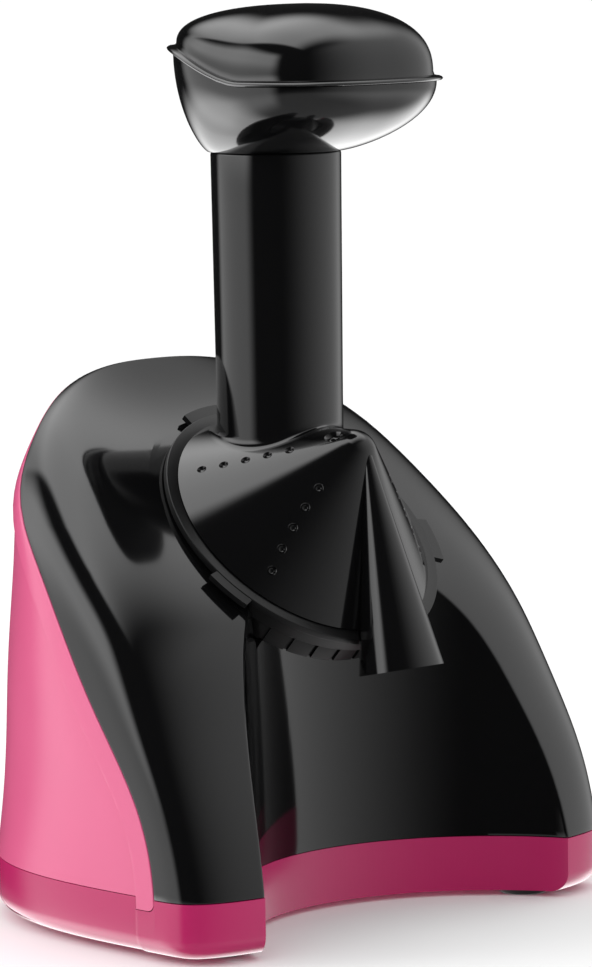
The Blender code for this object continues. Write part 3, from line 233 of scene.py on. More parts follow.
def loft(name, rings, matrix=None, loop=False):
    """A closed solid through rings of equally many points; loop joins the last ring to the first."""
    count = len(rings[0])
    verts = [p for ring in rings for p in ring]
    faces = [] if loop else [list(range(count)), list(range(len(verts) - count, len(verts)))]
    for k in range(len(rings) if loop else len(rings) - 1):
        a, b = k * count, (k + 1) % len(rings) * count
        for i in range(count):
            j = (i + 1) % count
            faces.append([a + i, a + j, b + j, b + i])
    return solid(name, verts, faces, matrix)


def circle(radius, z=0.0, steps=96, x=0.0, y=0.0):
    """Points round an upright axis."""
    turns = [2 * pi * i / steps for i in range(steps)]
    return [(x + radius * cos(t), y + radius * sin(t), z) for t in turns]


def rod(name, radius, low, high, matrix=None, steps=96, x=0.0, y=0.0):
    """A cylinder between two heights, as a tool."""
    return loft(name, [circle(radius, low, steps, x, y), circle(radius, high, steps, x, y)], matrix)


def softened(profile, radius, steps=4):
    """A closed (radius, z) profile with its corners rounded, apart from those on the axis."""
    made, count = [], len(profile)
    for k in range(count):
        here = np.array(profile[k], float)
        before, after = np.array(profile[k - 1], float), np.array(profile[(k + 1) % count], float)
        if here[0] < 1e-6:
            made.append(tuple(here))
            continue
        a, b = before - here, after - here
        reach = min(radius, 0.42 * np.linalg.norm(a), 0.42 * np.linalg.norm(b))
        first, last = here + a / np.linalg.norm(a) * reach, here + b / np.linalg.norm(b) * reach
        made += [tuple(first)] + [tuple(p) for p in bend(first, here, last, steps)] + [tuple(last)]
    return made


def turned(name, profile, matrix=None, steps=128, soft=0.0):
    """A solid turned about Z from a closed (radius, z) profile; points on the axis are shared."""
    profile = softened(profile, soft) if soft else profile
    verts, index = [], []
    for r, z in profile:
        if r < 1e-6:
            index.append([len(verts)] * steps)
            verts.append((0, 0, z))
        else:
            index.append(list(range(len(verts), len(verts) + steps)))
            verts += circle(r, z, steps)
    faces = []
    for k in range(len(profile)):
        a, b = index[k], index[(k + 1) % len(profile)]
        for i in range(steps):
            j = (i + 1) % steps
            corners = list(dict.fromkeys([a[i], a[j], b[j], b[i]]))
            if len(corners) > 2:
                faces.append(corners)
    return solid(name, verts, faces, matrix)


def box(name, low, high, matrix=None):
    """A block between two corners, as a tool."""
    (x0, y0, z0), (x1, y1, z1) = low, high
    return loft(name, [[(x0, y0, z), (x1, y0, z), (x1, y1, z), (x0, y1, z)] for z in (z0, z1)], matrix)


def slab(name, outline, half=FAR):
    """A block across the body whose side view is the outline of (y, z) points."""
    return loft(name, [[(x, y, z) for y, z in outline] for x in (-half, half)])


def combine(target, tool, operation="DIFFERENCE", solver="MANIFOLD"):
    """Applies a Boolean of target with tool, and removes the tool."""
    modifier = target.modifiers.new(operation.lower(), "BOOLEAN")
    modifier.operation = operation
    modifier.solver = solver
    modifier.object = tool
    bpy.context.view_layer.update()
    result = bpy.data.meshes.new_from_object(target.evaluated_get(bpy.context.evaluated_depsgraph_get()))
    target.modifiers.clear()
    target.data = result
    bpy.data.objects.remove(tool)
    return target


def put(piece, name, body_name, slot_name, *nodes, sharp=32):
    """Moves a finished piece into the frame, shades it, and says what it rides on and stands for."""
    piece.name = name
    piece.data.transform(TO_FRAME)
    piece.data.materials.clear()
    piece.data.materials.append(LOOK[slot_name])
    piece.data.shade_smooth()
    piece.data.set_sharp_from_angle(angle=radians(sharp))
    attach(piece, body_name)
    if nodes:
        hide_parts(*nodes)
    return piece


# ---------------------------------------------------------------- materials

def shade(name, colour, roughness, metallic=0.0, **extra):
    """A Principled material with mottled roughness and a fine relief."""
    made = bpy.data.materials.new(name)
    made.use_nodes = True
    nodes, links = made.node_tree.nodes, made.node_tree.links
    shader = nodes["Principled BSDF"]
    shader.inputs["Metallic"].default_value = metallic
    shader.inputs["Specular IOR Level"].default_value = extra.get("specular", 0.5)
    place = nodes.new("ShaderNodeTexCoord")
    broad = nodes.new("ShaderNodeTexNoise")
    broad.inputs["Scale"].default_value = extra.get("mottle", 22)
    broad.inputs["Detail"].default_value = 4
    links.new(place.outputs["Object"], broad.inputs["Vector"])
    vary = nodes.new("ShaderNodeMapRange")
    vary.inputs["To Min"].default_value = roughness * (1 - extra.get("swing", 0.15))
    vary.inputs["To Max"].default_value = roughness * (1 + extra.get("swing", 0.15))
    links.new(broad.outputs["Fac"], vary.inputs["Value"])
    links.new(vary.outputs["Result"], shader.inputs["Roughness"])
    tone = nodes.new("ShaderNodeMix")
    tone.data_type = "RGBA"
    shift = extra.get("shift", 0.04)
    tone.inputs["A"].default_value = (*[c * (1 - shift) for c in colour], 1)
    tone.inputs["B"].default_value = (*[min(c * (1 + shift), 1) for c in colour], 1)
    links.new(broad.outputs["Fac"], tone.inputs["Factor"])
    links.new(tone.outputs["Result"], shader.inputs["Base Color"])
    fine = nodes.new("ShaderNodeTexNoise")
    fine.inputs["Scale"].default_value = extra.get("grain", 90)
    fine.inputs["Detail"].default_value = extra.get("detail", 1)
    links.new(place.outputs["Object"], fine.inputs["Vector"])
    relief = nodes.new("ShaderNodeBump")
    relief.inputs["Strength"].default_value = extra.get("strength", 0.2)
    relief.inputs["Distance"].default_value = extra.get("height", 0.00001)
    links.new(fine.outputs["Fac"], relief.inputs["Height"])
    links.new(relief.outputs["Normal"], shader.inputs["Normal"])
    made.diffuse_color = (*colour, 1)
    return made


LOOK = {
    "gloss_black": shade("gloss_black", (0.0028, 0.0028, 0.0030), 0.085),
    "matte_black": shade("matte_black", (0.0035, 0.0035, 0.0037), 0.36,
                         grain=1800, height=0.00003, strength=0.35, specular=0.3),
    "side_pink": shade("side_pink", (0.60, 0.095, 0.215), 0.24),
    "plinth_magenta": shade("plinth_magenta", (0.40, 0.009, 0.095), 0.24),
    "black_rubber": shade("black_rubber", (0.02, 0.02, 0.02), 0.75, grain=1200, height=0.00005, strength=0.5),
    "grey_silicone": shade("grey_silicone", (0.60, 0.60, 0.60), 0.5),
    "steel": shade("steel", (0.60, 0.60, 0.62), 0.28, 1.0, grain=700),
    "blade_steel": shade("blade_steel", (0.70, 0.70, 0.72), 0.18, 1.0, grain=900),
    "bronze": shade("bronze", (0.60, 0.40, 0.20), 0.35, 1.0, grain=1500),
    "white_nylon": shade("white_nylon", (0.80, 0.79, 0.75), 0.42, grain=1500),
    "copper_tone": shade("copper_tone", (0.72, 0.35, 0.20), 0.30, 1.0, grain=700),
    "board_green": shade("board_green", (0.03, 0.25, 0.10), 0.45, grain=700),
}
slots = {part["node"]: part["material_slot"] for part in frame["record"]["subparts"]}
for node, item in frame["nodes"].items():
    item.data.materials.clear()
    item.data.materials.append(LOOK[slots[node]])


# ---------------------------------------------------------------- body outline

def back_line(z):
    """Where the back lies at a height, on the middle plane."""
    return BACK_Y - (BACK_Y - APEX_Y) * np.clip(z / TOP_Z, 0, 1)**3


def side(y, z):
    """Half width of the body at y and z; in front of the parting line it is the arch's own half width."""
    rise = np.clip(z / TOP_Z, 0, 1)
    edge_y, back_y = parting(z), back_line(z)
    t = np.clip((y - edge_y) / np.maximum(back_y - edge_y, 1e-6), 0, 1)
    power = SIDE_POWER + (1 - SIDE_POWER) * rise**SIDE_FADE
    return HALF_WIDTH * (1 - rise**ARCH_POWER)**ARCH_ROOT * (1 - t**power)**0.5


def parting_at(z, offset):
    """Where the parting line moved back by the offset crosses a height."""
    at = z
    for _ in range(3):
        slope = (parting(at + 0.0005) - parting(at - 0.0005)) / 0.001
        size = np.sqrt(1 + slope**2)
        at = z + offset * slope / size
    return float(parting(at) + offset / size)


def levels(low, steps=56, cap=30):
    """Heights from low to the top, closing up where the outline closes in."""
    turn_in = 0.168
    lower = np.linspace(low, turn_in, steps)[:-1]
    start = (1 - (turn_in / TOP_Z)**ARCH_POWER)**ARCH_ROOT
    upper = [TOP_Z * (1 - s**(1 / ARCH_ROOT))**(1 / ARCH_POWER) for s in np.linspace(start, 0.02, cap)]
    return list(lower) + upper


SPREAD = (1 - np.cos(np.linspace(0, pi, 900))) / 2


def face_curve(z, edge_y):
    """Right half of the front face at a height, from the parting line to the middle."""
    face_y, wide = float(face_line(z)), float(side(edge_y, z))
    turn = SPREAD * pi / 2
    x = wide * np.cos(turn).clip(0)**(2 / FACE_POWER)
    return np.stack([x, edge_y + (face_y - edge_y) * np.sin(turn)**(2 / FACE_POWER)], axis=1)


def back_curve(z, edge_y):
    """Right half of the sides and back at a height, from the parting line to the middle."""
    back_y = float(back_line(z))
    y = edge_y + (back_y - edge_y) * (1 - (1 - SPREAD)**2)
    x = side(y, z)
    x[-1] = 0
    return np.stack([x, y], axis=1)


def mirrored(half, z):
    """A whole ring at z from its right half, whose ends lie on the middle plane."""
    ring = [(x, y, z) for x, y in half]
    return ring + [(-x, y, z) for x, y in half[-2:0:-1]]


def front_ring(z, edge=0.0005, corner=0.0012):
    """Outline of the front shell at a height, with the bay's hollow where there is one."""
    edge_y = parting_at(z, -GAP / 2)
    curve = face_curve(z, edge_y)
    wide = curve[0, 0]
    edge = min(edge, wide * 0.2, (curve[0, 1] - curve[-1, 1]) * 0.2)
    inside = np.hypot(curve[:, 0], curve[:, 1] - BAY_Y) < BAY_R
    if inside.any() and curve[np.argmax(inside), 0] > 0.014:
        at = np.argmax(inside)
        face = curve[:at + 1]
        meet = face[-1]
        start = atan2(meet[0], meet[1] - BAY_Y)
        arc = np.linspace(start, 0, 300)
        bay = np.stack([BAY_R * np.sin(arc), BAY_Y + BAY_R * np.cos(arc)], axis=1)
    else:
        at = np.argmax(curve[:, 0] < wide * 0.12)
        face, bay, meet = curve[:at + 1], curve[at:], curve[at]
    reach = min(corner, 0.3 * np.linalg.norm(bay[0] - bay[-1]))
    outer = resample(trimmed(face, edge, reach), 46)
    inner = resample(trimmed(bay, reach, 0), 40)
    back = np.stack([np.linspace(0, wide - edge, 6), np.full(6, edge_y)], axis=1)
    turn = bend(back[-1], (wide, edge_y), outer[0], 3)
    return np.concatenate([back, turn, outer, bend(outer[-1], meet, inner[0], 5), inner])


def body_solid(name, low, inset=0.0):
    """The whole body without its bay, drawn in by a wall, as a tool."""
    rings = []
    for z in levels(low, 24, 14):
        edge_y = float(parting(z))
        back, face = resample(back_curve(z, edge_y), 30), resample(face_curve(z, edge_y), 24)
        rings.append(mirrored(np.concatenate([back[::-1], face[1:]]), z))
    made = loft(name, rings)
    if inset:
        middle = (BACK_Y + FRONT_Y) / 2
        along_y = 1 - 2 * inset / (BACK_Y - FRONT_Y)
        shrink = Matrix.Diagonal((1 - inset / HALF_WIDTH, along_y, 1 - inset / TOP_Z, 1))
        about = Matrix.Translation((0, middle, 0))
        made.data.transform(about @ shrink @ about.inverted())
    return made


def bay_rod(name, grow=0.0):
    """The bowl bay's hollow, grown by a wall."""
    return rod(name, BAY_R + grow, -0.05, FAR, Matrix.Translation((0, BAY_Y, 0)), 256)


def bay_and_socket(name, grow):
    """The hollows of the bay and of the chute's socket as one tool, grown by a wall."""
    socket = rod("socket", SOCKET_R + grow, -SOCKET_DEPTH - SOCKET_FLOOR, FAR, CONE_FRAME, 128)
    return combine(bay_rod(name, grow), socket, "UNION")


def make_front_shell():
    """Black front with the bay's walls and the socket for the chute."""
    low = SPLIT_Z + GAP
    first = front_ring(low)
    drawn = [(0.0, 0.0004), (0.0001, 0.0001)]
    rings = [mirrored(inward(first, d), low + lift) for lift, d in drawn]
    rings += [mirrored(front_ring(z), z) for z in levels(low + 0.0004, 60, 34)]
    shell = loft("front", rings)
    cavity = combine(body_solid("inside", 0.010, WALL), bay_and_socket("walls", WALL))
    core = body_solid("core", 0.015, PANEL_STEP + WALL + 2 * GAP)
    combine(core, bay_and_socket("walls", WALL), "INTERSECT")
    combine(core, box("under", (-FAR, -FAR, -FAR), (FAR, FAR, low + 0.001)))
    combine(shell, cavity)
    combine(shell, core, "UNION")
    combine(shell, bay_rod("bay", -0.00002))
    combine(shell, rod("socket", SOCKET_R, -SOCKET_DEPTH, 0.12, CONE_FRAME, 160))
    combine(shell, rod("ledge", LEDGE_R, -FLANGE_T - 2 * GAP, 0.12, CONE_FRAME, 200))
    combine(shell, rod("shaft_hole", SHAFT_HOLE_R, -SOCKET_DEPTH - 0.02, 0.0, CONE_FRAME, 48))
    return put(shell, "shell_front", "base", "gloss_black", "front_shell")


def inward(half, draw):
    """A right half outline drawn in by a distance along its normals; its ends stay on the middle plane."""
    along = np.gradient(half, axis=0)
    along /= np.linalg.norm(along, axis=1, keepdims=True).clip(1e-12)
    normal = np.stack([-along[:, 1], along[:, 0]], axis=1)
    middle = half.mean(axis=0)
    if ((middle - half) * normal).sum() < 0:
        normal = -normal
    moved = half + normal * draw
    moved[[0, -1], 0] = 0
    return moved


def make_rear_shell():
    """Pink sides and back: a rim band along the parting line, and behind it a panel a step lower."""
    low = SPLIT_Z - BAND_DROP - 0.001
    heights = levels(low, 70, 44)
    edge = 0.0006
    grid = []
    for z in heights:
        edge_y = parting_at(z, GAP / 2)
        curve = back_curve(z, edge_y)
        step_y = min(parting_at(z, BAND), curve[-1, 1] - 0.0004)
        size = min(edge, curve[0, 0] * 0.2)
        at = np.clip(np.argmax(curve[:, 1] > step_y), 5, len(curve) - 5)
        band = resample(trimmed(curve[:at + 1], min(size, 0.2 * (curve[at, 1] - edge_y)), 0), 14)
        panel = resample(curve[at:], 110)
        near = np.concatenate([resample(panel[:6], 22), panel[6:]])
        turn = bend((curve[0, 0] - size, edge_y), curve[0], band[0], 3)
        back = np.stack([np.linspace(0, curve[0, 0] - size, 6), np.full(6, edge_y)], axis=1)
        line = np.concatenate([back, turn, band, near[1:]])
        grid.append(np.c_[line, np.full(len(line), z)])
    grid = np.array(grid)
    down = np.gradient(grid, axis=0)
    along = np.gradient(grid, axis=1)
    normal = np.cross(along, down)
    normal /= np.linalg.norm(normal, axis=2, keepdims=True).clip(1e-12)
    outwards = np.sign((normal * (grid - np.array([0, 0.02, 0.1]))).sum(axis=2, keepdims=True))
    normal *= outwards
    z = grid[..., 2]
    slope = (parting(z + 0.0005) - parting(z - 0.0005)) / 0.001
    behind = (grid[..., 1] - np.vectorize(parting_at)(z, BAND)) / np.sqrt(1 + slope**2)
    t = np.clip(behind / 0.0009, 0, 1)
    drop = PANEL_STEP * (3 * t**2 - 2 * t**3)
    drop[:, :9] = 0
    grid -= normal * drop[..., None]
    grid[:, -1, 0] = 0
    shell = loft("rear", [mirrored_grid(row) for row in grid])
    combine(shell, below_rear())
    combine(shell, body_solid("inside", -0.02, PANEL_STEP + WALL))
    cut_back(shell)
    return put(shell, "shell_rear", "base", "side_pink", "rear_shell")


def mirrored_grid(row):
    ring = [tuple(p) for p in row]
    return ring + [(-p[0], p[1], p[2]) for p in ring[-2:0:-1]]


def band_end(grow=0.0):
    """Side view of the rim band's rounded lower end, from its rear edge round to its front edge."""
    low, r = SPLIT_Z - BAND_DROP - grow, 0.0035
    front, back = parting_at(low + r, GAP / 2 - grow), parting_at(low + r, BAND + grow)
    turn = np.linspace(pi / 2, 0, 12)
    corner = [(front + r * (1 - cos(t)), low + r * (1 - sin(t))) for t in turn]
    return [(back, low)] + corner, front, back


def below_rear():
    """What is cut off under the rear shell: everything below the split but for the band's end."""
    end, front, back = band_end()
    top = SPLIT_Z + GAP
    outline = [(FAR, top), (back, top)] + end + [(front, top), (-FAR, top), (-FAR, -FAR), (FAR, -FAR)]
    return slab("below", outline)


def cut_back(shell):
    """Vents, switch opening and gland hole in the back."""
    w, h, z = SWITCH_W / 2, SWITCH_H / 2, SWITCH_Z
    slope = float(back_line(z - 0.001) - back_line(z + 0.001)) / 0.002
    out = Matrix.Translation((0, float(back_line(z)) - PANEL_STEP, z))
    out = out @ Matrix.Rotation(np.arctan(slope) - pi / 2, 4, "X")
    combine(shell, box("switch_hole", (-w, -h, -0.02), (w, h, 0.02), out))
    across = Matrix.Translation((0, BACK_Y, GLAND_Z)) @ Matrix.Rotation(-pi / 2, 4, "X")
    combine(shell, rod("gland_hole", GLAND_HOLE_R, -0.02, 0.02, across, 48))
    half, r = VENT_HALF, VENT_R
    for i in range(VENTS):
        z = VENT_Z + VENT_PITCH * i + r
        ends = []
        for middle, start in ((half - r, -pi / 2), (-half + r, pi / 2)):
            turns = [start + pi * k / 10 for k in range(11)]
            ends += [(middle + r * cos(t), z + r * sin(t)) for t in turns]
        combine(shell, loft("vent", [[(x, y, z) for x, z in ends] for y in (0.09, FAR)]))


def make_plinth():
    """Magenta base with a rounded lower edge, proud under the front legs and the rim band."""
    edge_y = float(parting(SPLIT_Z))
    face = resample(face_curve(SPLIT_Z, edge_y), 90)
    back = back_curve(SPLIT_Z, edge_y)
    step_y = parting_at(SPLIT_Z, BAND) + GAP
    at = np.argmax(back[:, 1] > step_y)
    band, panel = resample(back[:at + 1], 12), resample(back[at:], 110)
    near = np.concatenate([resample(panel[:4], 16), panel[4:]])
    half = np.concatenate([face[::-1], band[1:], near[1:]])
    t = np.clip((half[:, 1] - step_y) / 0.0008, 0, 1)
    drop = PANEL_STEP * (3 * t**2 - 2 * t**3)
    rings = []
    for turn in np.linspace(0, pi / 2, 10):
        draw, z = PLINTH_ROUND * (1 - sin(turn)), PLINTH_BOTTOM + PLINTH_ROUND * (1 - cos(turn))
        rings.append(mirrored(inward_by(half, draw + drop), z))
    for draw, z in ((0, SPLIT_Z - 0.0004), (0.0001, SPLIT_Z - 0.0001), (0.0004, SPLIT_Z)):
        rings.append(mirrored(inward_by(half, draw + drop), z))
    plinth = loft("plinth", rings)
    hollow = body_solid("hollow", 0.005, PANEL_STEP + 2 * WALL)
    combine(hollow, bay_rod("bay_wall", WALL))
    combine(plinth, hollow)
    combine(plinth, bay_rod("bay"))
    end, front, back_edge = band_end(GAP)
    notch = slab("notch", end + [(front, 0.1), (back_edge, 0.1)])
    reach = HALF_WIDTH - NOTCH_IN
    combine(notch, box("middle", (-reach, -FAR, -FAR), (reach, FAR, FAR)))
    combine(plinth, notch)
    for x, y in foot_spots():
        combine(plinth, rod("foot_seat", FOOT_R + GAP, -0.01, PLINTH_BOTTOM + 0.002, None, 64, x, y))
    for x, y in screw_spots():
        combine(plinth, rod("hole", SCREW_HOLE_R, -0.01, 0.0075, None, 32, x, y))
    for i in range(4):
        x = 0.014 + 0.012 * i
        combine(plinth, box("vent", (x, 0.035, -0.01), (x + 0.005, 0.075, 0.008)))
    return put(plinth, "plinth", "base", "plinth_magenta", "base_plinth")


def inward_by(half, draw):
    """Like inward, with a distance for each point."""
    unit = inward(half, 1.0) - half
    unit[0], unit[-1] = (0, 1), (0, -1)
    if half[0, 1] > half[-1, 1]:
        unit[0], unit[-1] = (0, -1), (0, 1)
    return half + unit * np.asarray(draw)[..., None] if np.ndim(draw) else half + unit * draw


def spots(places):
    """Mirrored (x, y) places, each given as how far inside the body's edge it lies, and its y."""
    return [(sign * (float(side(y, SPLIT_Z)) - inset), y) for inset, y in places for sign in (-1, 1)]


def foot_spots():
    return spots(FOOT_PLACES)


def screw_spots():
    return spots(SCREW_PLACES)


def make_feet():
    names = ("front_left", "front_right", "rear_left", "rear_right")
    for name, (x, y) in zip(names, foot_spots()):
        profile = [(0, 0.0003), (0.0060, 0.0003), (0.0066, 0), (FOOT_R, 0), (FOOT_R, 0.0042), (0, 0.0042)]
        foot = turned("foot", profile, Matrix.Translation((x, y, 0)), 64, 0.0006)
        put(foot, f"pad_{name}", "base", "black_rubber", f"foot_{name}")


# ---------------------------------------------------------------- chute

def cone_drop(x, y):
    """Height of the cone's outside above the point (x, y)."""
    back = CONE_FRAME.inverted()

    def outside(z):
        p = back @ Vector((x, y, z))
        return np.hypot(p.x, p.y) - (CONE_R - CONE_SLOPE * p.z)

    lo, hi = CONE_Z - 0.03, CONE_Z + 0.06
    for _ in range(50):
        mid = (lo + hi) / 2
        if outside(mid) > 0:
            hi = mid
        else:
            lo = mid
    return hi


def make_tube():
    """The feed tube, flared into the cone by a fillet where it lands on it."""
    steps, fillet = 160, 0.0035
    count = 9
    rows = [[] for _ in range(count)]
    for i in range(steps):
        turn = 2 * pi * i / steps
        c, s = cos(turn), sin(turn)
        foot = cone_drop(TUBE_R * c, TUBE_R * s)
        out = TUBE_R + fillet
        far = cone_drop(out * c, out * s)
        reach = fillet / max(np.hypot(fillet, far - foot), fillet)
        far_r = TUBE_R + fillet * reach
        far = cone_drop(far_r * c, far_r * s)
        start, corner, end = (TUBE_R, foot + fillet), (TUBE_R, foot), (far_r, far)
        line = np.concatenate([[start], bend(start, corner, end, count - 3), [end], [(far_r, far - 0.0004)]])
        for k, (r, z) in enumerate(line):
            rows[k].append((r * c, r * s, z))
    rows = rows[::-1]
    flare = [circle(TUBE_R + TUBE_FLARE * t, TUBE_FOOT + (TUBE_TOP - TUBE_FOOT) * t, steps)
             for t in (0.02, 0.25, 0.5, 0.75)]
    top = TUBE_R + TUBE_FLARE
    lip = [(top, TUBE_TOP - 0.0008), (top - 0.0002, TUBE_TOP - 0.0002), (top - 0.0008, TUBE_TOP),
           (TUBE_BORE + 0.0006, TUBE_TOP), (TUBE_BORE, TUBE_TOP - 0.0006),
           (TUBE_BORE, TUBE_END), (TUBE_R - 0.001, TUBE_END)]
    rings = rows + flare + [circle(r, z, steps) for r, z in lip]
    return loft("tube", rings, None, True)


def funnel(name, grow=0.0, past=0.0, soft=0.0):
    """The spout's cone as a solid, grown all over; past lengthens it beyond the mouth."""
    tip, end = Vector((0, *SPOUT_TIP)), Vector((0, *SPOUT_END))
    lean = atan2(tip.y - end.y, tip.z - end.z)
    place = Matrix.Translation(end) @ Matrix.Rotation(-lean, 4, "X")
    length = (tip - end).length
    slope = SPOUT_R / (length * 1.05)
    nose = [(0, length * 0.97 + grow), (slope * length * 0.06 + grow * 0.6, length * 0.96 + grow * 0.8),
            (slope * length * 0.11 + grow, length * 0.94 + grow * 0.5)]
    return turned(name, nose + [(SPOUT_R + grow + slope * past, -past), (0, -past)], place, 160, soft)


def cone_tool(name, grow):
    """The chute's cone and spigot as a tool."""
    wide, neck, lip = CONE_R + grow / cos(CONE_HALF_ANGLE), SPIGOT_R + grow, -2 * GAP - grow
    profile = [(0, wide / CONE_SLOPE), (wide, 0), (wide, lip), (neck, lip), (neck, -0.05), (0, -0.05)]
    return turned(name, profile, CONE_FRAME, 200)


def make_chute():
    """Cone housing with its round nose and rows of dimples, and the feed tube on it."""
    nose = CONE_R / CONE_SLOPE - NOSE_R / sin(CONE_HALF_ANGLE)
    arc = [(NOSE_R * sin(t), nose + NOSE_R * cos(t)) for t in np.linspace(0, pi / 2 - CONE_HALF_ANGLE, 9)]
    edge = 0.0005
    rim = [(CONE_R - edge * CONE_SLOPE, edge), (CONE_R, 0.0), (CONE_R - 0.0002, -GAP), (SPIGOT_R, -GAP)]
    outside = [tuple(p) for p in np.linspace(arc[-1], rim[0], 24)[1:-1]]
    spigot = [(SPIGOT_R, -SKIRT_DEPTH), (0, -SKIRT_DEPTH)]
    cone = turned("cone", arc + outside + rim + spigot, CONE_FRAME, 240)
    inside_r = SPIGOT_R - CONE_WALL
    wall = CONE_WALL / cos(CONE_HALF_ANGLE)
    start, top = (CONE_R - wall - inside_r) / CONE_SLOPE, (CONE_R - wall) / CONE_SLOPE
    blunt = top - 0.003
    cavity = [(0, blunt), (0.003 * CONE_SLOPE, blunt), (inside_r, start), (inside_r, -0.05), (0, -0.05)]
    combine(cone, turned("cavity", cavity, CONE_FRAME, 96))
    combine(cone, rod("bore", TUBE_BORE, CONE_Z + 0.024, 0.6, None, 96))
    combine(cone, funnel("outlet", -SPOUT_WALL, 0.01))
    dimple_cone(cone)
    put(cone, "housing_cone", "chute", "gloss_black", "chute_housing")
    tube = make_tube()
    combine(tube, turned("cavity", cavity, CONE_FRAME, 96))
    put(tube, "feed_tube", "chute", "gloss_black")
    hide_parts("chute_housing")


# turn round the cone and height on it, at the low and the high end of each row
DIMPLES = [(-55.5, -57.0, 0.0070, 0.0330), (-122.5, -113.5, 0.0075, 0.0345), (122.5, 113.5, 0.0075, 0.0345)]


def dimple(cone, turn, s, size):
    """A round dimple with a bevelled rim, at a turn round the cone and a height s above its wide end."""
    spin = CONE_FRAME @ Matrix.Rotation(radians(90 - turn), 4, "Z")
    spin = spin @ Matrix.Translation((CONE_R - CONE_SLOPE * s, 0, s))
    spin = spin @ Matrix.Rotation(pi / 2 - CONE_HALF_ANGLE, 4, "Y")
    cup = [(0, -0.62), (0.40, -0.60), (0.56, -0.50), (0.62, -0.34), (1.0, 0.0), (1.06, 0.5), (0, 0.5)]
    combine(cone, turned("dimple", [(r * size, z * size) for r, z in cup], spin, 28))


def dimple_cone(cone):
    """Rows of five dimples down the cone, and a larger one on its nose."""
    for low_turn, high_turn, low_s, high_s in DIMPLES:
        for t in np.linspace(0, 1, 5):
            dimple(cone, low_turn + (high_turn - low_turn) * t, low_s + (high_s - low_s) * t, 0.0020)
    dimple(cone, -45.5, 0.0460, 0.0040)


def make_spout():
    """The hanging spout: what the funnel leaves outside the cone."""
    spout = combine(funnel("spout"), funnel("inside", -SPOUT_WALL, 0.01))
    combine(spout, cone_tool("cone", GAP / 2))
    put(spout, "spout", "chute", "gloss_black", "spout_nozzle")


def make_lock_ring():
    """Matte ring: flange with bayonet lugs, and a skirt."""
    inner, front, back = SPIGOT_R + GAP, -2 * GAP, -FLANGE_T
    flange = [(inner, -SKIRT_DEPTH), (inner, front), (FLANGE_R, front), (FLANGE_R, back)]
    ring = turned("ring", flange + [(SKIRT_R, back), (SKIRT_R, -SKIRT_DEPTH)], CONE_FRAME, 200, 0.0004)
    tip, root = FLANGE_R + LUG_OUT, FLANGE_R - 0.002
    for start, end in LUGS:
        turns = np.radians(90 - np.linspace(start, end, 24))
        outer = np.stack([tip * np.cos(turns), tip * np.sin(turns)], axis=1)
        inner_line = np.stack([root * np.cos(turns), root * np.sin(turns)], axis=1)[::-1]
        corner = bend(outer[-2], outer[-1], outer[-1] * 0.98 + inner_line[0] * 0.02, 2)
        outline = np.concatenate([trimmed(outer, 0.001, 0.001, 22), corner, inner_line])
        sides = [[(x, y, z) for x, y in outline] for z in (back + 0.0003, front - 0.0003)]
        lug = loft("lug", sides, CONE_FRAME)
        combine(ring, lug, "UNION")
    combine(ring, funnel("spout_room", 2 * GAP, 0.02))
    put(ring, "ring", "chute", "matte_black", "lock_ring")


def make_cap():
    """Cap behind the ring, with narrow grip notches round its edge."""
    front, inner, plate = -SKIRT_DEPTH - GAP, SPIGOT_R - CONE_WALL, -CAP_BACK + CAP_PLATE
    profile = [(CAP_HOLE_R, -CAP_BACK), (CAP_HOLE_R, plate), (inner, plate), (inner, front)]
    cap = turned("cap", profile + [(CAP_R, front), (CAP_R, -CAP_BACK)], CONE_FRAME, 192, 0.0006)
    for k in range(32):
        spin = CONE_FRAME @ Matrix.Rotation(2 * pi * k / 32, 4, "Z")
        low, high = (CAP_R - 0.0012, -0.0009, -CAP_BACK - 0.01), (CAP_R + 0.01, 0.0009, front - 0.002)
        combine(cap, box("notch", low, high, spin))
    put(cap, "cap", "cap", "matte_black", "bottom_cap")


# ---------------------------------------------------------------- handle

def brim_z(y):
    """Height of the seam between bowl and lid, which sweeps up towards the back."""
    t = min(max((y - HANDLE_Y + 0.012) / (HANDLE_HALF + 0.006), 0), 1)
    return BRIM_Z + BRIM_RISE * (3 * t**2 - 2 * t**3)


def squircle(half, steps=144):
    """The handle's rounded square seen from above."""
    points = []
    for i in range(steps):
        t = 2 * pi * i / steps
        c, s = cos(t), sin(t)
        points.append((half * abs(c)**(2 / HANDLE_POWER) * (1 if c > 0 else -1),
                       HANDLE_Y + half * abs(s)**(2 / HANDLE_POWER) * (1 if s > 0 else -1)))
    return points


def bowl_ring(u, inset=0.0, steps=144):
    """The bowl's outline at a share u of its height, from the round neck to the square brim."""
    neck_z = TUBE_TOP + GAP
    spread = (u * (2 - u))**0.78
    ring = []
    for (x0, y0, _), (x1, y1) in zip(circle(NECK_R - inset, 0, steps), squircle(HANDLE_HALF - inset, steps)):
        ring.append((x0 + (x1 - x0) * spread, y0 + (y1 - y0) * spread, neck_z + (brim_z(y1) - neck_z) * u))
    return ring


def lid_ring(half, u):
    """The lid's outline at a share u of its height."""
    shrink = (1 - u**2.6)**0.45
    ring = []
    for x, y in squircle(half):
        foot = brim_z(y) + GAP + BRIM_T
        ring.append((x * shrink, HANDLE_Y + (y - HANDLE_Y) * shrink, foot + (LID_TOP - foot) * u))
    return ring


def brim_ring(half, lift):
    return [(x, y, brim_z(y) + GAP + lift) for x, y in squircle(half)]


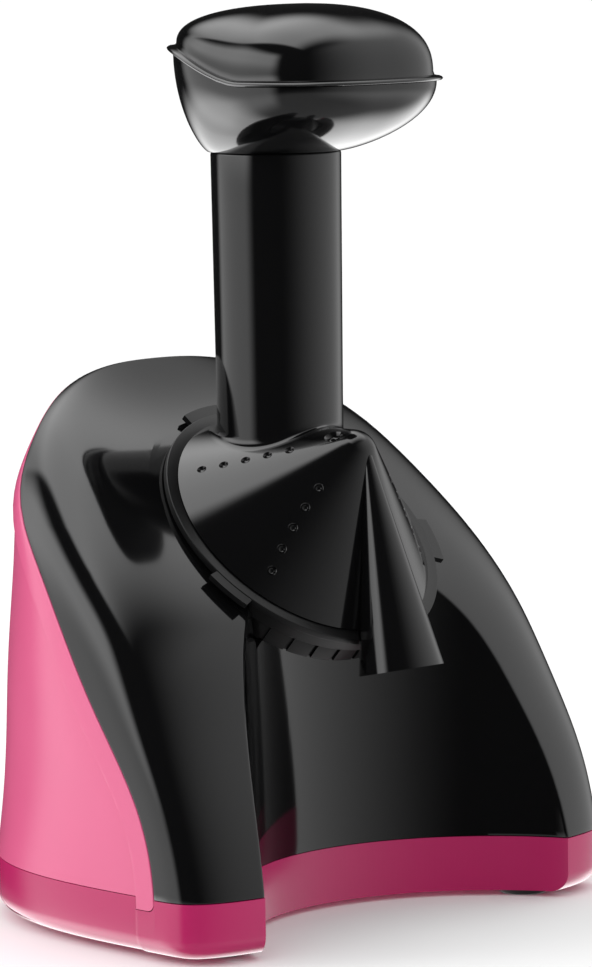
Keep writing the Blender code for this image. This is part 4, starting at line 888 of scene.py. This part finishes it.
def make_handle():
    """Bowl and lid of the handle: smooth shells that meet at the swept brim."""
    levels_up = list(np.linspace(0, 1, 26)**1.6)
    outside = [bowl_ring(u) for u in levels_up]
    inside = [bowl_ring(u, 0.0022) for u in (1.0, 0.6, 0.25, 0.0)]
    inside[-1] = [(x, y, z + 0.0022) for x, y, z in inside[-1]]
    floor = TUBE_TOP + GAP
    hole = [circle(0.0208, floor + 0.0022, 144), circle(0.0208, floor, 144)]
    bowl = loft("bowl", outside + inside + hole, None, True)
    put(bowl, "handle_shell", "plunger", "gloss_black", "handle_bowl")
    half = HANDLE_HALF - 0.0012
    edge = HANDLE_HALF + BRIM_LIP
    lip = [brim_ring(half - 0.002, 0), brim_ring(HANDLE_HALF, 0), brim_ring(edge - 0.0006, 0.0001),
           brim_ring(edge - 0.0002, 0.0004), brim_ring(edge, 0.0009), brim_ring(edge - 0.0003, 0.0014),
           brim_ring(edge - 0.0010, 0.0018), brim_ring(half + 0.0012, 0.0020),
           brim_ring(half + 0.0004, 0.0023)]
    rises = np.sin(np.linspace(0.05, pi / 2 * 0.985, 30))
    dome = [lid_ring(half, u) for u in rises]
    put(loft("lid", lip + dome), "handle_dome", "plunger", "gloss_black", "handle_lid")


# ---------------------------------------------------------------- stage, light and camera

def make_stage():
    """A plain pale floor under the lowest point."""
    mesh = bpy.data.meshes.new("floor")
    far = 30
    mesh.from_pydata([(-far, -far, 0), (far, -far, 0), (far, far, 0), (-far, far, 0)], [], [(0, 1, 2, 3)])
    floor = bpy.data.objects.new("floor", mesh)
    bpy.context.collection.objects.link(floor)
    floor.location.z = cad_box[0].z
    paint = bpy.data.materials.new("floor_white")
    paint.use_nodes = True
    shader = paint.node_tree.nodes["Principled BSDF"]
    shader.inputs["Base Color"].default_value = (0.95, 0.95, 0.95, 1)
    shader.inputs["Roughness"].default_value = 0.9
    shader.inputs["Specular IOR Level"].default_value = 0
    mesh.materials.append(paint)
    floor.visible_glossy = False


def softbox(name, azimuth, height, distance, width, tall, power, aim=0.16, feather=0.35):
    """A rectangular area light that fades towards its edges, aimed at the object. Azimuth 0 is in front."""
    data = bpy.data.lights.new(name, "AREA")
    data.shape = "RECTANGLE"
    data.size, data.size_y = width, tall
    data.energy = power
    made = bpy.data.objects.new(name, data)
    bpy.context.collection.objects.link(made)
    a = radians(azimuth)
    made.location = (sin(a) * distance, -cos(a) * distance, height)
    made.visible_glossy = False
    made.rotation_euler = (Vector((0, 0, aim)) - made.location).to_track_quat("-Z", "Y").to_euler()
    data.use_nodes = True
    nodes, links = data.node_tree.nodes, data.node_tree.links
    place = nodes.new("ShaderNodeNewGeometry")
    parts = nodes.new("ShaderNodeSeparateXYZ")
    links.new(place.outputs["Parametric"], parts.inputs["Vector"])
    fades = []
    for axis in ("X", "Y"):
        out = maths(data.node_tree, "ABSOLUTE", maths(data.node_tree, "SUBTRACT", parts.outputs[axis], 0.5))
        fades.append(ramp(data.node_tree, out, 0.5, 0.5 - feather))
    links.new(product(data.node_tree, *fades), nodes["Emission"].inputs["Strength"])


def ramp(tree, value, low, high):
    """A smooth 0 to 1 step of a socket's value from low to high, or down again if low is above high."""
    step = tree.nodes.new("ShaderNodeMapRange")
    step.interpolation_type = "SMOOTHSTEP"
    step.inputs["From Min"].default_value = min(low, high)
    step.inputs["From Max"].default_value = max(low, high)
    if low > high:
        step.inputs["To Min"].default_value, step.inputs["To Max"].default_value = 1, 0
    tree.links.new(value, step.inputs["Value"])
    return step.outputs["Result"]


def maths(tree, operation, *values):
    """A Math node's result from sockets and plain numbers."""
    node = tree.nodes.new("ShaderNodeMath")
    node.operation = operation
    for slot, value in zip(node.inputs, values):
        if isinstance(value, (int, float)):
            slot.default_value = value
        else:
            tree.links.new(value, slot)
    return node.outputs[0]


def product(tree, *values):
    total = values[0]
    for value in values[1:]:
        total = maths(tree, "MULTIPLY", total, value)
    return total


WORLD_LIGHT = 1.08
DIMMEST = 0.02
CEILING = 3.3
# bearings where a panel fades in and out, then the same for its height, then its brightness
PANELS = [
    (-176, -160, -104, -84, -0.9, -0.5, 0.50, 0.68, 1.5),
    (-168, -140, -100, -84, 0.05, 0.35, 0.50, 0.68, 1.6),
    (-40, 60, 90, 120, -0.75, -0.35, 0.70, 0.95, 1.05),
    (-190, -189, 189, 190, -1.2, -1.1, -0.45, -0.20, 0.5),
    (75, 110, 189, 190, -1.1, -0.9, -0.42, -0.16, 2.6),
    (-190, -189, -150, -125, -1.1, -0.9, -0.40, -0.18, 2.4),
]


def make_world():
    """White all round for the eye and for soft light; reflections see a studio of soft panels.

    Bearings are in degrees about the object: 0 in front, negative on the left; heights are sines.
    """
    world = bpy.data.worlds.new("studio")
    bpy.context.scene.world = world
    world.use_nodes = True
    tree = world.node_tree
    tree.nodes.clear()
    place = tree.nodes.new("ShaderNodeTexCoord")
    parts = tree.nodes.new("ShaderNodeSeparateXYZ")
    tree.links.new(place.outputs["Generated"], parts.inputs["Vector"])
    across, ahead, height = parts.outputs
    turn = maths(tree, "ARCTAN2", across, maths(tree, "MULTIPLY", ahead, -1))
    bearing = maths(tree, "MULTIPLY", turn, 180 / pi)
    total = DIMMEST
    for left, left_in, right_in, right, floor, floor_in, top_in, top, power in PANELS:
        glow = product(tree, ramp(tree, bearing, left, left_in), ramp(tree, bearing, right, right_in),
                       ramp(tree, height, floor, floor_in), ramp(tree, height, top, top_in), power)
        total = maths(tree, "ADD", total, glow)
    reach = maths(tree, "MAXIMUM", height, 0.05)
    aside, behind = maths(tree, "DIVIDE", across, reach), maths(tree, "DIVIDE", ahead, reach)
    ceiling = product(tree, ramp(tree, aside, -0.60, -0.46), ramp(tree, aside, 1.5, 0.1),
                      ramp(tree, behind, -0.60, -0.05), ramp(tree, height, 0.46, 0.80), CEILING)
    total = maths(tree, "ADD", total, ceiling)
    out = tree.nodes.new("ShaderNodeOutputWorld")
    bright, studio = tree.nodes.new("ShaderNodeBackground"), tree.nodes.new("ShaderNodeBackground")
    mix = tree.nodes.new("ShaderNodeMixShader")
    for node in (bright, studio):
        node.inputs["Color"].default_value = (1, 1, 1, 1)
    bright.inputs["Strength"].default_value = WORLD_LIGHT
    tree.links.new(total, studio.inputs["Strength"])
    path = tree.nodes.new("ShaderNodeLightPath")
    tree.links.new(path.outputs["Is Glossy Ray"], mix.inputs["Fac"])
    tree.links.new(bright.outputs[0], mix.inputs[1])
    tree.links.new(studio.outputs[0], mix.inputs[2])
    tree.links.new(mix.outputs[0], out.inputs["Surface"])


CAMERA_FROM_TUBE = (-1.5244, -1.5863, 0.4243)
CAMERA_TURN = -44.02
CAMERA_TILT = 83.6
CAMERA_ROLL = -0.92


def make_camera():
    """The camera as solved from the photo, set out from the feed tube's foot."""
    data = bpy.data.cameras.new("camera")
    data.sensor_width = 36
    data.lens = 198.55
    data.clip_start, data.clip_end = 0.05, 200
    camera = bpy.data.objects.new("camera", data)
    bpy.context.collection.objects.link(camera)
    place = Matrix.Translation(TUBE_AT + Vector(CAMERA_FROM_TUBE))
    aim = Matrix.Rotation(radians(CAMERA_TURN), 4, "Z") @ Matrix.Rotation(radians(CAMERA_TILT), 4, "X")
    camera.matrix_world = place @ aim @ Matrix.Rotation(radians(CAMERA_ROLL), 4, "Z")
    bpy.context.scene.camera = camera


make_camera()
make_front_shell()
make_rear_shell()
make_plinth()
make_feet()
make_chute()
make_spout()
make_lock_ring()
make_cap()
make_handle()
make_stage()
make_world()
softbox("key_left", -132, 0.8, 1.6, 1.2, 1.4, 28)
scene = bpy.context.scene
scene.view_settings.view_transform = "Standard"
